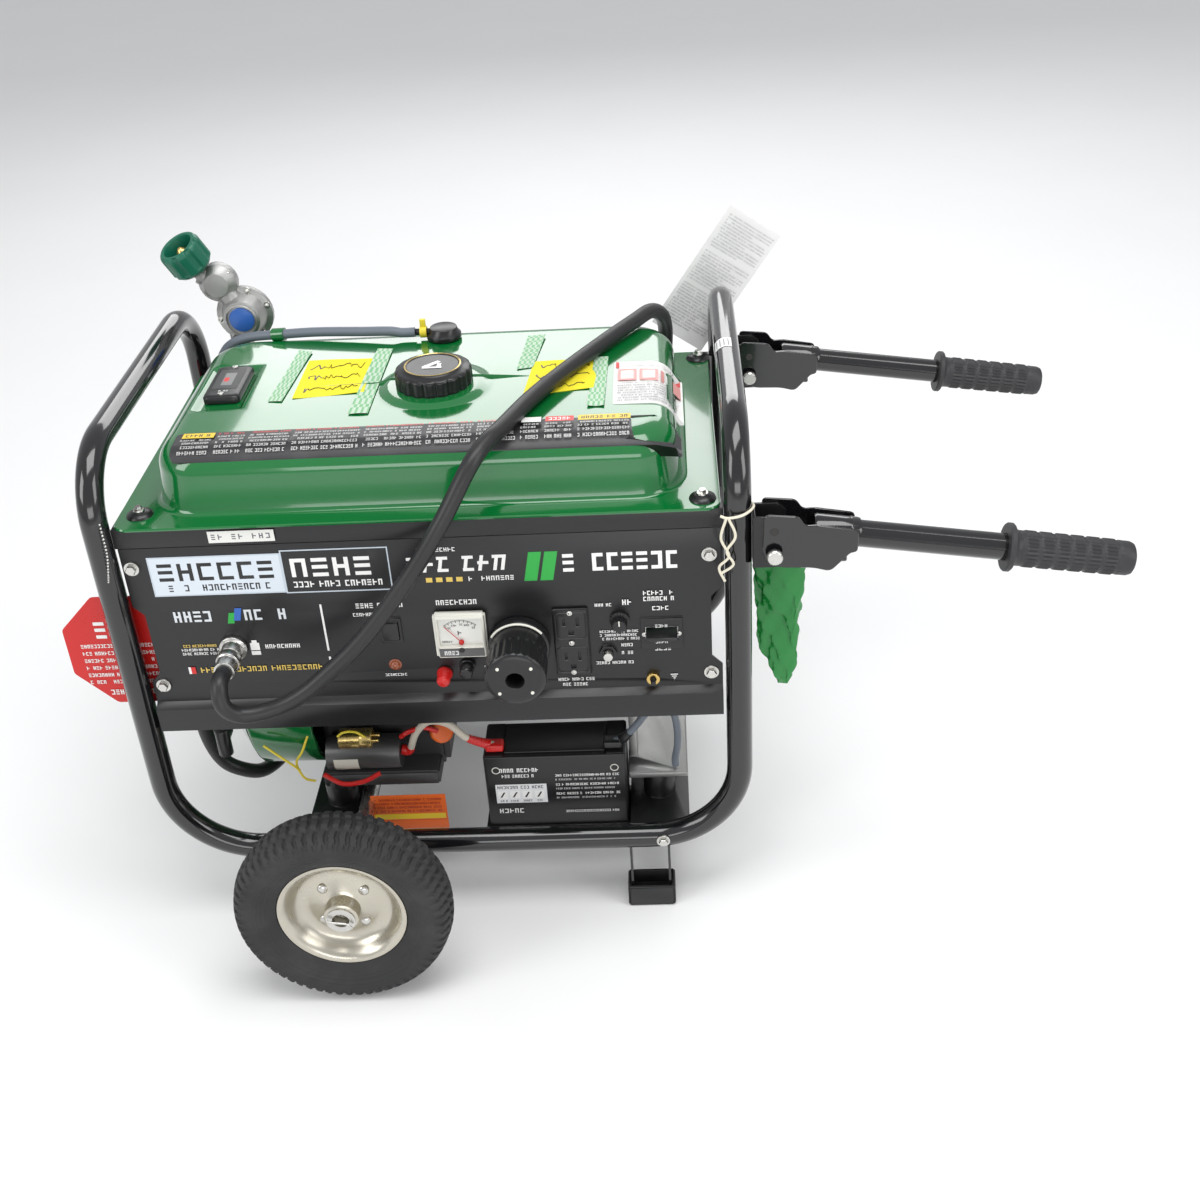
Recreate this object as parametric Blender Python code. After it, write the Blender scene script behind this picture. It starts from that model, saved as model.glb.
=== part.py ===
"""Portable open-frame generator on two wheels and two feet, with fold-down handles.

Units are metres and +Z is up. The long side runs along X: the wheels are under the left end
and the handles leave the right end. The control panel faces -Y. Every piece is first placed
about the middle of the frame; one empty then carries the whole generator so that the origin
is under the middle of its overall box, on the ground.
"""

import math

import bmesh
import bpy
import numpy as np
from mathutils import Matrix, Vector

# ---- clearances -------------------------------------------------------------------------
GAP = 0.0003            # between two pieces that touch
RUN = 0.0006            # between a turning piece and its seat

# ---- frame: one bent tube, drawn as two U loops and two arches ---------------------------
FRAME_W = 0.590         # between upright centrelines, along X
FRAME_D = 0.389         # between front and rear centrelines, along Y
FRAME_H = 0.453         # bottom rail centre to top rail centre
TUBE_R = 0.0127
LOW_BEND = 0.090
TOP_BEND = 0.065
SEAM_RUN = 0.004        # straight run of an arch below its bend

CROSS_LEFT_X = -0.132   # crossmembers' middles, from the middle of the frame
CROSS_RIGHT_X = 0.212

# ---- wheels, axle and feet ---------------------------------------------------------------
WHEEL_R = 0.108
WHEEL_W = 0.050
TREAD_W = 0.037         # flat part of the tread between its shoulders
RIM_R = 0.064
RIM_W = 0.034
HUB_R = 0.017
HUB_W = 0.040
AXLE_R = 0.008
AXLE_SEAT = 0.0013      # between the axle's underside and the rails it crosses
AXLE_FROM_CROSS = 0.034 # axle beside the left crossmember's middle
WHEEL_OUT = 0.116       # wheel's mid plane outside the frame's centreline
AXLE_OUT = 0.1265       # axle end outside the frame's centreline
FOOT_FROM_RIGHT = 0.0945
PAD_X = 0.050
PAD_Y = 0.030
PAD_Z = 0.026
PAD_WALL = 0.004
PAD_FLOOR = 0.009
STRAP_SPREAD = 0.042    # between the outer faces of a foot strap's legs
STRAP_T = 0.0025
STRAP_W = 0.018

# ---- handles -----------------------------------------------------------------------------
PIVOT_OUT = 0.032       # pivot outside the right uprights' centreline
PIVOT_DROP = 0.107      # pivot below the top rail centre
PIN_R = 0.0055
CHEEK_T = 0.0025        # bracket cheek and arm cheek
CHEEK_Y = 0.0145        # outer face of a bracket cheek from the tube's mid plane
ARM_DROOP = math.radians(8.6)
ARM_TUBE_R = 0.0125
SLEEVE_R = 0.0148
SLEEVE_LEN = 0.042
ARM_RISE = 0.0115       # tube axis above the pivot where the tube leaves the arm plate
ARM_START = 0.036       # from the pivot to the sleeve
ARM_LEN = 0.213         # from the pivot to the grip's collar
GRIP_R = 0.0165
GRIP_LEN = 0.118
GRIP_LIP_R = 0.0225
GRIP_LIP = 0.006

# ---- tank --------------------------------------------------------------------------------
FLANGE_DROP = 0.067     # tank flange's underside below the top rail centre
FLANGE_T = 0.003
FLANGE_LEFT = 0.016     # flange's edge inside the left uprights' centreline
FLANGE_RIGHT = 0.0155
FLANGE_FRONT = -0.005   # flange's edge behind the front centreline
FLANGE_REAR = 0.044     # flange's edge in front of the rear centreline
BODY_INSET_X = 0.033
BODY_INSET_F = 0.023
BODY_INSET_R = 0.040
BODY_RISE = 0.064       # crown above the flange's underside
BODY_SINK = 0.056       # tank floor below the flange's underside
CHANNEL_H = 0.020
CHANNEL_D = 0.040
CHANNEL_T = 0.002
NECK_R = 0.027
NECK_H = 0.010
NECK_BORE_R = 0.0215
NECK_BORE_DEEP = 0.030
CAP_R = 0.0375
CAP_H = 0.021
CAP_WAVE = 0.0014
CAP_LOBES = 12
CAP_X = 0.010
CAP_Y = 0.150           # behind the front centreline
PLUG_R = 0.0205
PLUG_LEN = 0.012
GAUGE_X = -0.199
GAUGE_Y = 0.175
GAUGE_W = 0.036
GAUGE_L = 0.075
GAUGE_H = 0.007
VALVE_X = 0.006
VALVE_Y = 0.270
VALVE_R = 0.018
VALVE_H = 0.011

# ---- control panel -----------------------------------------------------------------------
PANEL_H = 0.176
PANEL_T = 0.002
PANEL_INSET = 0.0155    # panel's edge inside the uprights' centreline
NOTCH = 0.010           # how far the side edges step in between the bolts
LIP_H = 0.030           # folded rail under the panel
LIP_OUT = 0.008
LIP_DEEP = 0.022


# ---- places that follow from the sizes ---------------------------------------------------
SIDE_X = FRAME_W / 2
FRONT_Y = -FRAME_D / 2
REAR_Y = FRAME_D / 2
AXLE_Z = WHEEL_R
RAIL_Z = AXLE_Z - AXLE_R - AXLE_SEAT - TUBE_R
TOP_Z = RAIL_Z + FRAME_H
SEAM_Z = TOP_Z - TOP_BEND - SEAM_RUN
AXLE_X = CROSS_LEFT_X + AXLE_FROM_CROSS
FOOT_X = SIDE_X - FOOT_FROM_RIGHT
PIVOT_X = SIDE_X + PIVOT_OUT
PIVOT_Z = TOP_Z - PIVOT_DROP
FLANGE_Z = TOP_Z - FLANGE_DROP
PANEL_TOP = FLANGE_Z - CHANNEL_H - 2 * GAP
PANEL_BOTTOM = PANEL_TOP - PANEL_H
PANEL_X = SIDE_X - PANEL_INSET
TANK_TOP = FLANGE_Z + BODY_RISE
GRIP_END = ARM_LEN + GRIP_LEN
RIGHT_END = PIVOT_X + GRIP_END * math.cos(ARM_DROOP) + GRIP_R * math.sin(ARM_DROOP)

# ---- red tag at the left end -------------------------------------------------------------
TAG_ACROSS = 0.125
TAG_T = 0.0012
TAG_OUT = 0.0045        # tag's middle outside the left uprights' centreline
TAG_BACK = 0.016        # tag behind the front centreline
TAG_DROP = 0.211        # tag's middle below the top rail centre
LEFT_END = SIDE_X + TAG_OUT + TAG_ACROSS / 2
CENTRE_SHIFT = (LEFT_END - RIGHT_END) / 2

for old in list(bpy.data.objects):
    bpy.data.objects.remove(old, do_unlink=True)

generator = bpy.data.objects.new("generator", None)
generator.location = (CENTRE_SHIFT, 0.0, 0.0)
bpy.context.scene.collection.objects.link(generator)


# ---- materials ---------------------------------------------------------------------------
def paint(name, colour, roughness, metallic=0.0):
    """A Principled material with one colour, roughness and metallic value."""
    made = bpy.data.materials.new(name)
    made.use_nodes = True
    made.diffuse_color = (*colour, 1.0)
    shader = made.node_tree.nodes["Principled BSDF"]
    shader.inputs["Base Color"].default_value = (*colour, 1.0)
    shader.inputs["Roughness"].default_value = roughness
    shader.inputs["Metallic"].default_value = metallic
    return made


BLACK_TUBE = ("black_gloss_paint", (0.012, 0.012, 0.014), 0.18)
BLACK_SHEET = ("black_satin_paint", (0.015, 0.015, 0.017), 0.35)
GREEN = ("green_gloss_paint", (0.005, 0.165, 0.040), 0.15)
TYRE = ("tyre_rubber", (0.028, 0.028, 0.030), 0.75)
ZINC = ("champagne_zinc", (0.60, 0.56, 0.47), 0.32, 0.9)
STEEL = ("bright_steel", (0.62, 0.62, 0.60), 0.28, 1.0)
RUBBER = ("black_rubber", (0.018, 0.018, 0.019), 0.60)
GRIP = ("grip_rubber", (0.030, 0.030, 0.032), 0.55)
PLASTIC = ("black_plastic", (0.016, 0.016, 0.017), 0.35)
GREEN_PLASTIC = ("green_plastic", (0.010, 0.190, 0.110), 0.35)
CAST = ("cast_aluminium", (0.46, 0.46, 0.45), 0.50, 0.9)
RED_PLASTIC = ("red_plastic", (0.62, 0.020, 0.012), 0.30)
GREY_HOSE = ("grey_hose", (0.22, 0.25, 0.30), 0.45)
METER = ("meter_case", (0.70, 0.70, 0.66), 0.30)
BRASS = ("brass", (0.70, 0.50, 0.20), 0.28, 1.0)
TAG_RED = ("tag_red_card", (0.68, 0.020, 0.015), 0.40)
PAPER = ("paper", (0.78, 0.78, 0.75), 0.70)
FILM = ("green_film", (0.020, 0.260, 0.050), 0.30)


# ---- shape helpers -----------------------------------------------------------------------
def linked(name, data):
    """A new object in the scene, carried by the generator's empty."""
    made = bpy.data.objects.new(name, data)
    bpy.context.scene.collection.objects.link(made)
    made.parent = generator
    return made


def from_bmesh(name, shape):
    """Turns a bmesh into a linked object with its faces pointing out."""
    bmesh.ops.recalc_face_normals(shape, faces=shape.faces)
    data = bpy.data.meshes.new(name)
    shape.to_mesh(data)
    shape.free()
    return linked(name, data)


def prism(name, outline, axis, low, high, bevel=0.0):
    """An outline extruded along X, Y or Z. Its points are the two other coordinates in order."""
    slot = "XYZ".index(axis)
    shape = bmesh.new()
    base = []
    for first, second in outline:
        point = [first, second]
        point.insert(slot, low)
        base.append(shape.verts.new(point))
    face = shape.faces.new(base)
    pulled = bmesh.ops.extrude_face_region(shape, geom=[face])
    shift = Vector((0.0, 0.0, 0.0))
    shift[slot] = high - low
    moved = [item for item in pulled["geom"] if isinstance(item, bmesh.types.BMVert)]
    bmesh.ops.translate(shape, verts=moved, vec=shift)
    if bevel:
        bmesh.ops.bevel(shape, geom=shape.edges[:], offset=bevel, segments=2, affect="EDGES")
    return from_bmesh(name, shape)


def block(name, x, y, z, bevel=0.0):
    """A box between the given pairs of limits."""
    outline = [(x[0], y[0]), (x[1], y[0]), (x[1], y[1]), (x[0], y[1])]
    return prism(name, outline, "Z", z[0], z[1], bevel)


def lofted(name, rings):
    """A closed solid through rings of equal point count, capped at both ends."""
    shape = bmesh.new()
    made = [[shape.verts.new(point) for point in ring] for ring in rings]
    count = len(rings[0])
    for lower, upper in zip(made, made[1:]):
        for k in range(count):
            n = (k + 1) % count
            shape.faces.new((lower[k], lower[n], upper[n], upper[k]))
    shape.faces.new(made[0])
    shape.faces.new(made[-1])
    return from_bmesh(name, shape)


def frame_of(direction):
    """A rotation that takes +Z onto the direction."""
    return Vector(direction).to_track_quat("Z", "Y").to_matrix()


def turned(name, profile, base, direction, sides=24, ring=False):
    """A turned solid: (radius, height) pairs from base along direction. A ring closes on itself."""
    turn = frame_of(direction)
    angles = np.linspace(0.0, 2 * math.pi, sides, endpoint=False)
    rings = []
    for radius, height in profile:
        points = [Vector((radius * math.cos(a), radius * math.sin(a), height)) for a in angles]
        rings.append([turn @ point + Vector(base) for point in points])
    if not ring:
        return lofted(name, rings)
    shape = bmesh.new()
    made = [[shape.verts.new(point) for point in loop] for loop in rings]
    for lower, upper in zip(made, made[1:] + made[:1]):
        for k in range(sides):
            n = (k + 1) % sides
            shape.faces.new((lower[k], lower[n], upper[n], upper[k]))
    return from_bmesh(name, shape)


def rod(name, start, end, radius, sides=20):
    """A round bar between two points."""
    along = Vector(end) - Vector(start)
    return turned(name, [(radius, 0.0), (radius, along.length)], start, along, sides)


def bent(points, radius, steps=7):
    """Corner points joined by straight runs, with an arc of the given radius at each corner."""
    corners = [Vector(point) for point in points]
    path = [corners[0]]
    for before, corner, after in zip(corners, corners[1:], corners[2:]):
        back = (before - corner).normalized()
        ahead = (after - corner).normalized()
        half = back.angle(ahead) / 2
        reach = radius / math.tan(half)
        middle = corner + (back + ahead).normalized() * radius / math.sin(half)
        first = (corner + back * reach - middle).normalized()
        last = (corner + ahead * reach - middle).normalized()
        for k in range(steps + 1):
            path.append(middle + radius * first.slerp(last, k / steps))
    path.append(corners[-1])
    return path


def smooth(points, spacing):
    """Even points along a Catmull-Rom curve through the route's own points."""
    route = [Vector(point) for point in points]
    ends = [2 * route[0] - route[1], *route, 2 * route[-1] - route[-2]]
    fine = []
    for a, b, c, d in zip(ends, ends[1:], ends[2:], ends[3:]):
        for k in range(24):
            t = k / 24
            near = 2 * b + (c - a) * t + (2 * a - 5 * b + 4 * c - d) * t * t
            fine.append((near + (3 * b - a - 3 * c + d) * t ** 3) / 2)
    fine.append(route[-1])
    run = np.cumsum([0.0] + [(q - p).length for p, q in zip(fine, fine[1:])])
    count = max(2, round(run[-1] / spacing) + 1)
    table = np.array(fine)
    stops = np.linspace(0.0, run[-1], count)
    return [Vector([np.interp(s, run, table[:, k]) for k in range(3)]) for s in stops]


def pipe(name, path, radius, resolution=3):
    """A round tube or cord along a path, with filled ends."""
    data = bpy.data.curves.new(name, "CURVE")
    data.dimensions = "3D"
    data.bevel_depth = radius
    data.bevel_resolution = resolution
    data.use_fill_caps = True
    spline = data.splines.new("POLY")
    spline.points.add(len(path) - 1)
    for slot, point in zip(spline.points, path):
        slot.co = (*point, 1.0)
    return linked(name, data)


def as_mesh(piece):
    """The same piece with its curve turned into a mesh, so that it can be cut or joined."""
    bpy.context.view_layer.update()
    seen = piece.evaluated_get(bpy.context.evaluated_depsgraph_get())
    data = bpy.data.meshes.new_from_object(seen)
    name = piece.name
    bpy.data.objects.remove(piece, do_unlink=True)
    return linked(name, data)


def combine(piece, operation, tools):
    """Joins tools to the piece, or cuts them from it. They stay as hidden guides."""
    for tool in tools:
        step = piece.modifiers.new(operation.title(), "BOOLEAN")
        step.operation = operation
        step.object = tool
        tool.hide_render = True
        tool.display_type = "WIRE"
    return piece


def join(piece, *tools):
    return combine(piece, "UNION", tools)


def cut(piece, *tools):
    return combine(piece, "DIFFERENCE", tools)


def finish(piece, look, pivot=None, flat=False):
    """Gives the piece its material and shading, and puts its origin on its joint's axis."""
    if look[0] not in bpy.data.materials:
        paint(*look)
    piece.data.materials.clear()
    piece.data.materials.append(bpy.data.materials[look[0]])
    if pivot is not None:
        piece.data.transform(Matrix.Translation(-Vector(pivot)))
        piece.location = pivot
    if piece.type == "MESH" and not flat:
        piece.data.shade_smooth()
        piece.data.set_sharp_from_angle(angle=math.radians(35))
    return piece


# ---- frame -------------------------------------------------------------------------------
def frame_loop(name, y):
    """One U loop: an upright, the bottom rail and the other upright."""
    corners = [(-SIDE_X, y, SEAM_Z - GAP), (-SIDE_X, y, RAIL_Z)]
    corners += [(SIDE_X, y, RAIL_Z), (SIDE_X, y, SEAM_Z - GAP)]
    return pipe(name, bent(corners, LOW_BEND), TUBE_R)


def frame_arch(name, x):
    """The arch over one end, from the front upright to the rear one."""
    corners = [(x, FRONT_Y, SEAM_Z), (x, FRONT_Y, TOP_Z), (x, REAR_Y, TOP_Z), (x, REAR_Y, SEAM_Z)]
    return pipe(name, bent(corners, TOP_BEND), TUBE_R)


STRAP_HALF = STRAP_SPREAD / 2
STRAP_FOOT = PAD_FLOOR + GAP


def foot_strap(name, y):
    """A U strap: two legs from the pad's floor up to the bottom rail, welded to it."""
    top = RAIL_Z - TUBE_R / 2
    outer = [(-STRAP_HALF, top), (-STRAP_HALF, STRAP_FOOT), (STRAP_HALF, STRAP_FOOT), (STRAP_HALF, top)]
    inner = STRAP_HALF - STRAP_T
    outer += [(inner, top), (inner, STRAP_FOOT + STRAP_T), (-inner, STRAP_FOOT + STRAP_T), (-inner, top)]
    outline = [(FOOT_X + px, pz) for px, pz in outer]
    return prism(name, outline, "Y", y - STRAP_W / 2, y + STRAP_W / 2)


def foot_pad(name, y):
    """A rubber shoe with an open hollow that the strap's foot stands in."""
    x = (FOOT_X - PAD_X / 2, FOOT_X + PAD_X / 2)
    shoe = block(name, x, (y - PAD_Y / 2, y + PAD_Y / 2), (0.0, PAD_Z), 0.0015)
    inside_x = (x[0] + PAD_WALL - GAP, x[1] - PAD_WALL + GAP)
    inside_y = (y - PAD_Y / 2 + PAD_WALL, y + PAD_Y / 2 - PAD_WALL)
    return cut(shoe, block(name + "_hollow", inside_x, inside_y, (PAD_FLOOR, PAD_Z + 0.01)))


for side, y in (("front", FRONT_Y), ("rear", REAR_Y)):
    loop = as_mesh(frame_loop("frame_" + side, y))
    finish(join(loop, foot_strap("foot_strap_" + side, y)), BLACK_TUBE)
    finish(foot_pad("foot_pad_" + side, y), RUBBER)
finish(frame_arch("frame_left_arch", -SIDE_X), BLACK_TUBE)
finish(frame_arch("frame_right_arch", SIDE_X), BLACK_TUBE)

# Crossmembers: pressed channels between the bottom rails, open below, that carry the engine.
CROSS_W = 0.062
CROSS_H = 0.022
CROSS_T = 0.0025
MOUNT_R = 0.017
MOUNT_H = 0.030
CROSS_TOP = RAIL_Z + 0.004


def crossmember(name, x):
    """A channel between the rails with a round rubber mount standing on it at each end."""
    half = CROSS_W / 2
    low = CROSS_TOP - CROSS_H
    outline = [(x - half, low), (x - half, CROSS_TOP), (x + half, CROSS_TOP), (x + half, low)]
    inner = half - CROSS_T
    roof = CROSS_TOP - CROSS_T
    outline += [(x + inner, low), (x + inner, roof), (x - inner, roof), (x - inner, low)]
    reach = FRAME_D / 2 - TUBE_R - GAP
    beam = prism(name, outline, "Y", -reach, reach)
    posts = []
    for k, y in enumerate((FRONT_Y + 0.070, REAR_Y - 0.070)):
        top = (x, y, CROSS_TOP + MOUNT_H)
        posts.append(rod(name + "_post" + str(k), (x, y, CROSS_TOP - CROSS_T / 2), top, MOUNT_R))
    return join(beam, *posts)


finish(crossmember("crossmember_left", CROSS_LEFT_X), BLACK_SHEET)
finish(crossmember("crossmember_right", CROSS_RIGHT_X), BLACK_SHEET)

# ---- axle and wheels ---------------------------------------------------------------------
AXLE_END = FRAME_D / 2 + AXLE_OUT
finish(rod("axle", (AXLE_X, -AXLE_END, AXLE_Z), (AXLE_X, AXLE_END, AXLE_Z), AXLE_R), STEEL)

BEAD_R = RIM_R + GAP
SHOULDER_R = WHEEL_R - 0.006
WALL_R = 0.082
TYRE_SECTION = [
    (BEAD_R, -0.015), (BEAD_R + 0.006, -0.020), (WALL_R, -WHEEL_W / 2), (SHOULDER_R - 0.006, -WHEEL_W / 2 + 0.001),
    (SHOULDER_R, -TREAD_W / 2 - 0.002), (WHEEL_R, -TREAD_W / 2 + 0.004), (WHEEL_R, TREAD_W / 2 - 0.004),
    (SHOULDER_R, TREAD_W / 2 + 0.002), (SHOULDER_R - 0.006, WHEEL_W / 2 - 0.001), (WALL_R, WHEEL_W / 2),
    (BEAD_R + 0.006, 0.020), (BEAD_R, 0.015),
]
DISH = 0.004
RIM_SECTION = [
    (AXLE_R + RUN, -HUB_W / 2), (HUB_R, -HUB_W / 2), (HUB_R, -DISH), (0.040, -DISH - 0.003), (0.052, -DISH),
    (RIM_R - 0.004, -RIM_W / 2 + 0.002), (RIM_R, -RIM_W / 2 + 0.004), (RIM_R, RIM_W / 2 - 0.004),
    (RIM_R - 0.004, RIM_W / 2 - 0.002), (0.052, DISH), (0.040, DISH - 0.003), (HUB_R, DISH),
    (HUB_R, HUB_W / 2), (AXLE_R + RUN, HUB_W / 2),
]
for side, sign in (("front", -1), ("rear", 1)):
    middle = (AXLE_X, sign * (FRAME_D / 2 + WHEEL_OUT), AXLE_Z)
    tyre = turned("tyre_" + side, TYRE_SECTION, middle, (0, sign, 0), 32, ring=True)
    finish(tyre, TYRE, middle)
    rim = turned("rim_" + side, RIM_SECTION, middle, (0, sign, 0), 24, ring=True)
    finish(rim, ZINC, middle)

# ---- handles -----------------------------------------------------------------------------
ARM_CHEEK_Y = CHEEK_Y + RUN + CHEEK_T


def handle_bracket(name, y):
    """A channel welded to the upright, with two cheeks and the pivot pin through them."""
    left = SIDE_X + TUBE_R + GAP
    right = PIVOT_X + 0.013
    top = PIVOT_Z + 0.036
    bottom = PIVOT_Z - 0.016
    outline = [(left, bottom), (PIVOT_X + 0.006, bottom), (right, PIVOT_Z - 0.008)]
    outline += [(right, top - 0.008), (right - 0.008, top), (left, top)]
    body = prism(name, outline, "Y", y - CHEEK_Y, y + CHEEK_Y)
    inner = CHEEK_Y - CHEEK_T
    hollow = block(name + "_hollow", (left + CHEEK_T, right + 0.01), (y - inner, y + inner), (bottom - 0.01, top + 0.01))
    reach = ARM_CHEEK_Y + 0.005
    pin = rod(name + "_pin", (PIVOT_X, y - reach, PIVOT_Z), (PIVOT_X, y + reach, PIVOT_Z), PIN_R)
    return join(cut(body, hollow), pin)


ARM_PLATE = [
    (-0.009, 0.040), (0.022, 0.037), (0.028, 0.027), (0.037, 0.028), (0.076, 0.021),
    (0.075, -0.001), (0.069, -0.002), (0.051, -0.021), (0.035, -0.0165), (0.008, -0.0155),
    (-0.006, -0.0115), (-0.011, 0.002),
]


def handle_arm(name, y):
    """A forked plate on the pivot, with a sleeve and a tube that leaves it at a slight droop."""
    outline = [(PIVOT_X + px, PIVOT_Z + pz) for px, pz in ARM_PLATE]
    plate = prism(name, outline, "Y", y - ARM_CHEEK_Y, y + ARM_CHEEK_Y)
    slot_y = (y - CHEEK_Y - RUN, y + CHEEK_Y + RUN)
    slot = block(name + "_slot", (PIVOT_X - 0.03, PIVOT_X + ARM_START), slot_y, (PIVOT_Z - 0.05, PIVOT_Z + 0.06))
    eye = rod(name + "_eye", (PIVOT_X, y - 0.03, PIVOT_Z), (PIVOT_X, y + 0.03, PIVOT_Z), PIN_R + RUN)
    run = Vector((math.cos(ARM_DROOP), 0.0, -math.sin(ARM_DROOP)))
    root = Vector((PIVOT_X, y, PIVOT_Z)) + Vector((0.0, 0.0, ARM_RISE + 0.0085))
    inner = root + run * (ARM_START + 0.006)
    sleeve = rod(name + "_sleeve", inner, root + run * (ARM_START + SLEEVE_LEN), SLEEVE_R)
    tube = rod(name + "_tube", inner + run * 0.01, root + run * (ARM_LEN + GRIP_LEN * 0.25), ARM_TUBE_R)
    return join(cut(plate, slot, eye), sleeve, tube), root, run


for side, y in (("front", FRONT_Y), ("rear", REAR_Y)):
    pivot = (PIVOT_X, y, PIVOT_Z)
    finish(handle_bracket("handle_bracket_" + side, y), BLACK_SHEET)
    arm, root, run = handle_arm("handle_arm_" + side, y)
    finish(arm, BLACK_TUBE, pivot)
    sleeve_in = ARM_TUBE_R + GAP
    tip = GRIP_LEN * 0.25 + GAP
    section = [(sleeve_in, 0.0), (GRIP_LIP_R, 0.0), (GRIP_LIP_R, GRIP_LIP), (GRIP_R, GRIP_LIP + 0.003)]
    section += [(GRIP_R - 0.0005, GRIP_LEN - 0.004), (GRIP_R - 0.004, GRIP_LEN), (0.004, GRIP_LEN)]
    section += [(0.004, tip), (sleeve_in, tip)]
    grip = turned("handle_grip_" + side, section, root + run * ARM_LEN, run, 20, ring=True)
    finish(grip, GRIP, pivot)

# ---- fuel tank and what sits on it -------------------------------------------------------
FLANGE_X = (-SIDE_X + FLANGE_LEFT, SIDE_X - FLANGE_RIGHT)
FLANGE_Y = (FRONT_Y + FLANGE_FRONT, REAR_Y - FLANGE_REAR)
BODY_X = (FLANGE_X[0] + BODY_INSET_X, FLANGE_X[1] - BODY_INSET_X)
BODY_Y = (FLANGE_Y[0] + BODY_INSET_F, FLANGE_Y[1] - BODY_INSET_R)
LOWER_Y = (FRONT_Y + CHANNEL_D + 0.005, FLANGE_Y[1] - CHANNEL_D - 0.005)
FLANGE_CORNER = 0.014
BODY_CORNER = 0.045
SHOULDER = [(0.004, 0.024), (0.009, 0.012), (0.016, 0.0045), (0.028, 0.001), (0.050, 0.0)]


def rounded_ring(x, y, corner, z, steps=4):
    """A rounded rectangle's points at one height."""
    ring = []
    centres = [(x[1] - corner, y[1] - corner), (x[0] + corner, y[1] - corner)]
    centres += [(x[0] + corner, y[0] + corner), (x[1] - corner, y[0] + corner)]
    for quarter, (cx, cy) in enumerate(centres):
        for k in range(steps + 1):
            turn = (quarter + k / steps) * math.pi / 2
            ring.append((cx + corner * math.cos(turn), cy + corner * math.sin(turn), z))
    return ring


def inset(limits, by):
    return (limits[0] + by, limits[1] - by)


def tank_rings():
    """The tank from its floor, out to the flange, and up over the shoulder to the crown."""
    floor = FLANGE_Z - BODY_SINK
    rings = [rounded_ring(inset(BODY_X, 0.012), inset(LOWER_Y, 0.012), BODY_CORNER - 0.012, floor)]
    rings.append(rounded_ring(BODY_X, LOWER_Y, BODY_CORNER, floor + 0.012))
    rings.append(rounded_ring(BODY_X, LOWER_Y, BODY_CORNER, FLANGE_Z))
    rings.append(rounded_ring(FLANGE_X, FLANGE_Y, FLANGE_CORNER, FLANGE_Z))
    rings.append(rounded_ring(FLANGE_X, FLANGE_Y, FLANGE_CORNER, FLANGE_Z + FLANGE_T))
    rings.append(rounded_ring(BODY_X, BODY_Y, BODY_CORNER, FLANGE_Z + FLANGE_T))
    for step, drop in SHOULDER:
        corner = max(BODY_CORNER - step / 2, 0.004)
        rings.append(rounded_ring(inset(BODY_X, step), inset(BODY_Y, step), corner, TANK_TOP - drop))
    return rings


CAP_AT = (CAP_X, FRONT_Y + CAP_Y, TANK_TOP)
NECK_TOP = TANK_TOP + NECK_H
tank = lofted("fuel_tank", tank_rings())
neck = rod("neck_wall", (CAP_AT[0], CAP_AT[1], TANK_TOP - 0.005), (CAP_AT[0], CAP_AT[1], NECK_TOP), NECK_R, 28)
well = rod("neck_bore", (CAP_AT[0], CAP_AT[1], NECK_TOP - NECK_BORE_DEEP), (CAP_AT[0], CAP_AT[1], NECK_TOP + 0.01), NECK_BORE_R, 28)
finish(cut(join(tank, neck), well), GREEN)

stopper = rod("fuel_cap_plug", (CAP_AT[0], CAP_AT[1], NECK_TOP - PLUG_LEN), (CAP_AT[0], CAP_AT[1], NECK_TOP), PLUG_R, 24)
finish(stopper, PLASTIC, CAP_AT)


def cap_rings():
    """A scalloped cap: a cup that hangs over the neck, with a raised round boss on top."""
    steps = np.linspace(0.0, 2 * math.pi, CAP_LOBES * 3, endpoint=False)
    low = TANK_TOP + 0.0015
    roof = NECK_TOP + GAP
    top = low + CAP_H
    levels = [(NECK_R + RUN, roof, 0.0), (NECK_R + RUN, low, 0.0), (CAP_R - 0.0008, low, 1.0)]
    levels += [(CAP_R, low + 0.002, 1.0), (CAP_R, top - 0.006, 1.0), (CAP_R - 0.004, top - 0.002, 1.0)]
    levels += [(CAP_R - 0.009, top - 0.001, 0.0), (CAP_R - 0.011, top, 0.0)]
    rings = []
    for radius, z, wave in levels:
        ring = []
        for a in steps:
            r = radius + wave * CAP_WAVE * (math.cos(CAP_LOBES * a) - 1.0)
            ring.append((CAP_AT[0] + r * math.cos(a), CAP_AT[1] + r * math.sin(a), z))
        rings.append(ring)
    return rings


finish(lofted("fuel_cap", cap_rings()), PLASTIC, CAP_AT)

gauge_x = (GAUGE_X - GAUGE_W / 2, GAUGE_X + GAUGE_W / 2)
gauge_y = (FRONT_Y + GAUGE_Y - GAUGE_L / 2, FRONT_Y + GAUGE_Y + GAUGE_L / 2)
gauge = block("fuel_gauge", gauge_x, gauge_y, (TANK_TOP + GAP, TANK_TOP + GAUGE_H), 0.002)
slot_x = (GAUGE_X - 0.006, GAUGE_X + 0.006)
window = block("gauge_window", slot_x, inset(gauge_y, 0.020), (TANK_TOP + GAUGE_H - 0.002, TANK_TOP + 0.02))
finish(cut(gauge, window), PLASTIC)

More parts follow.
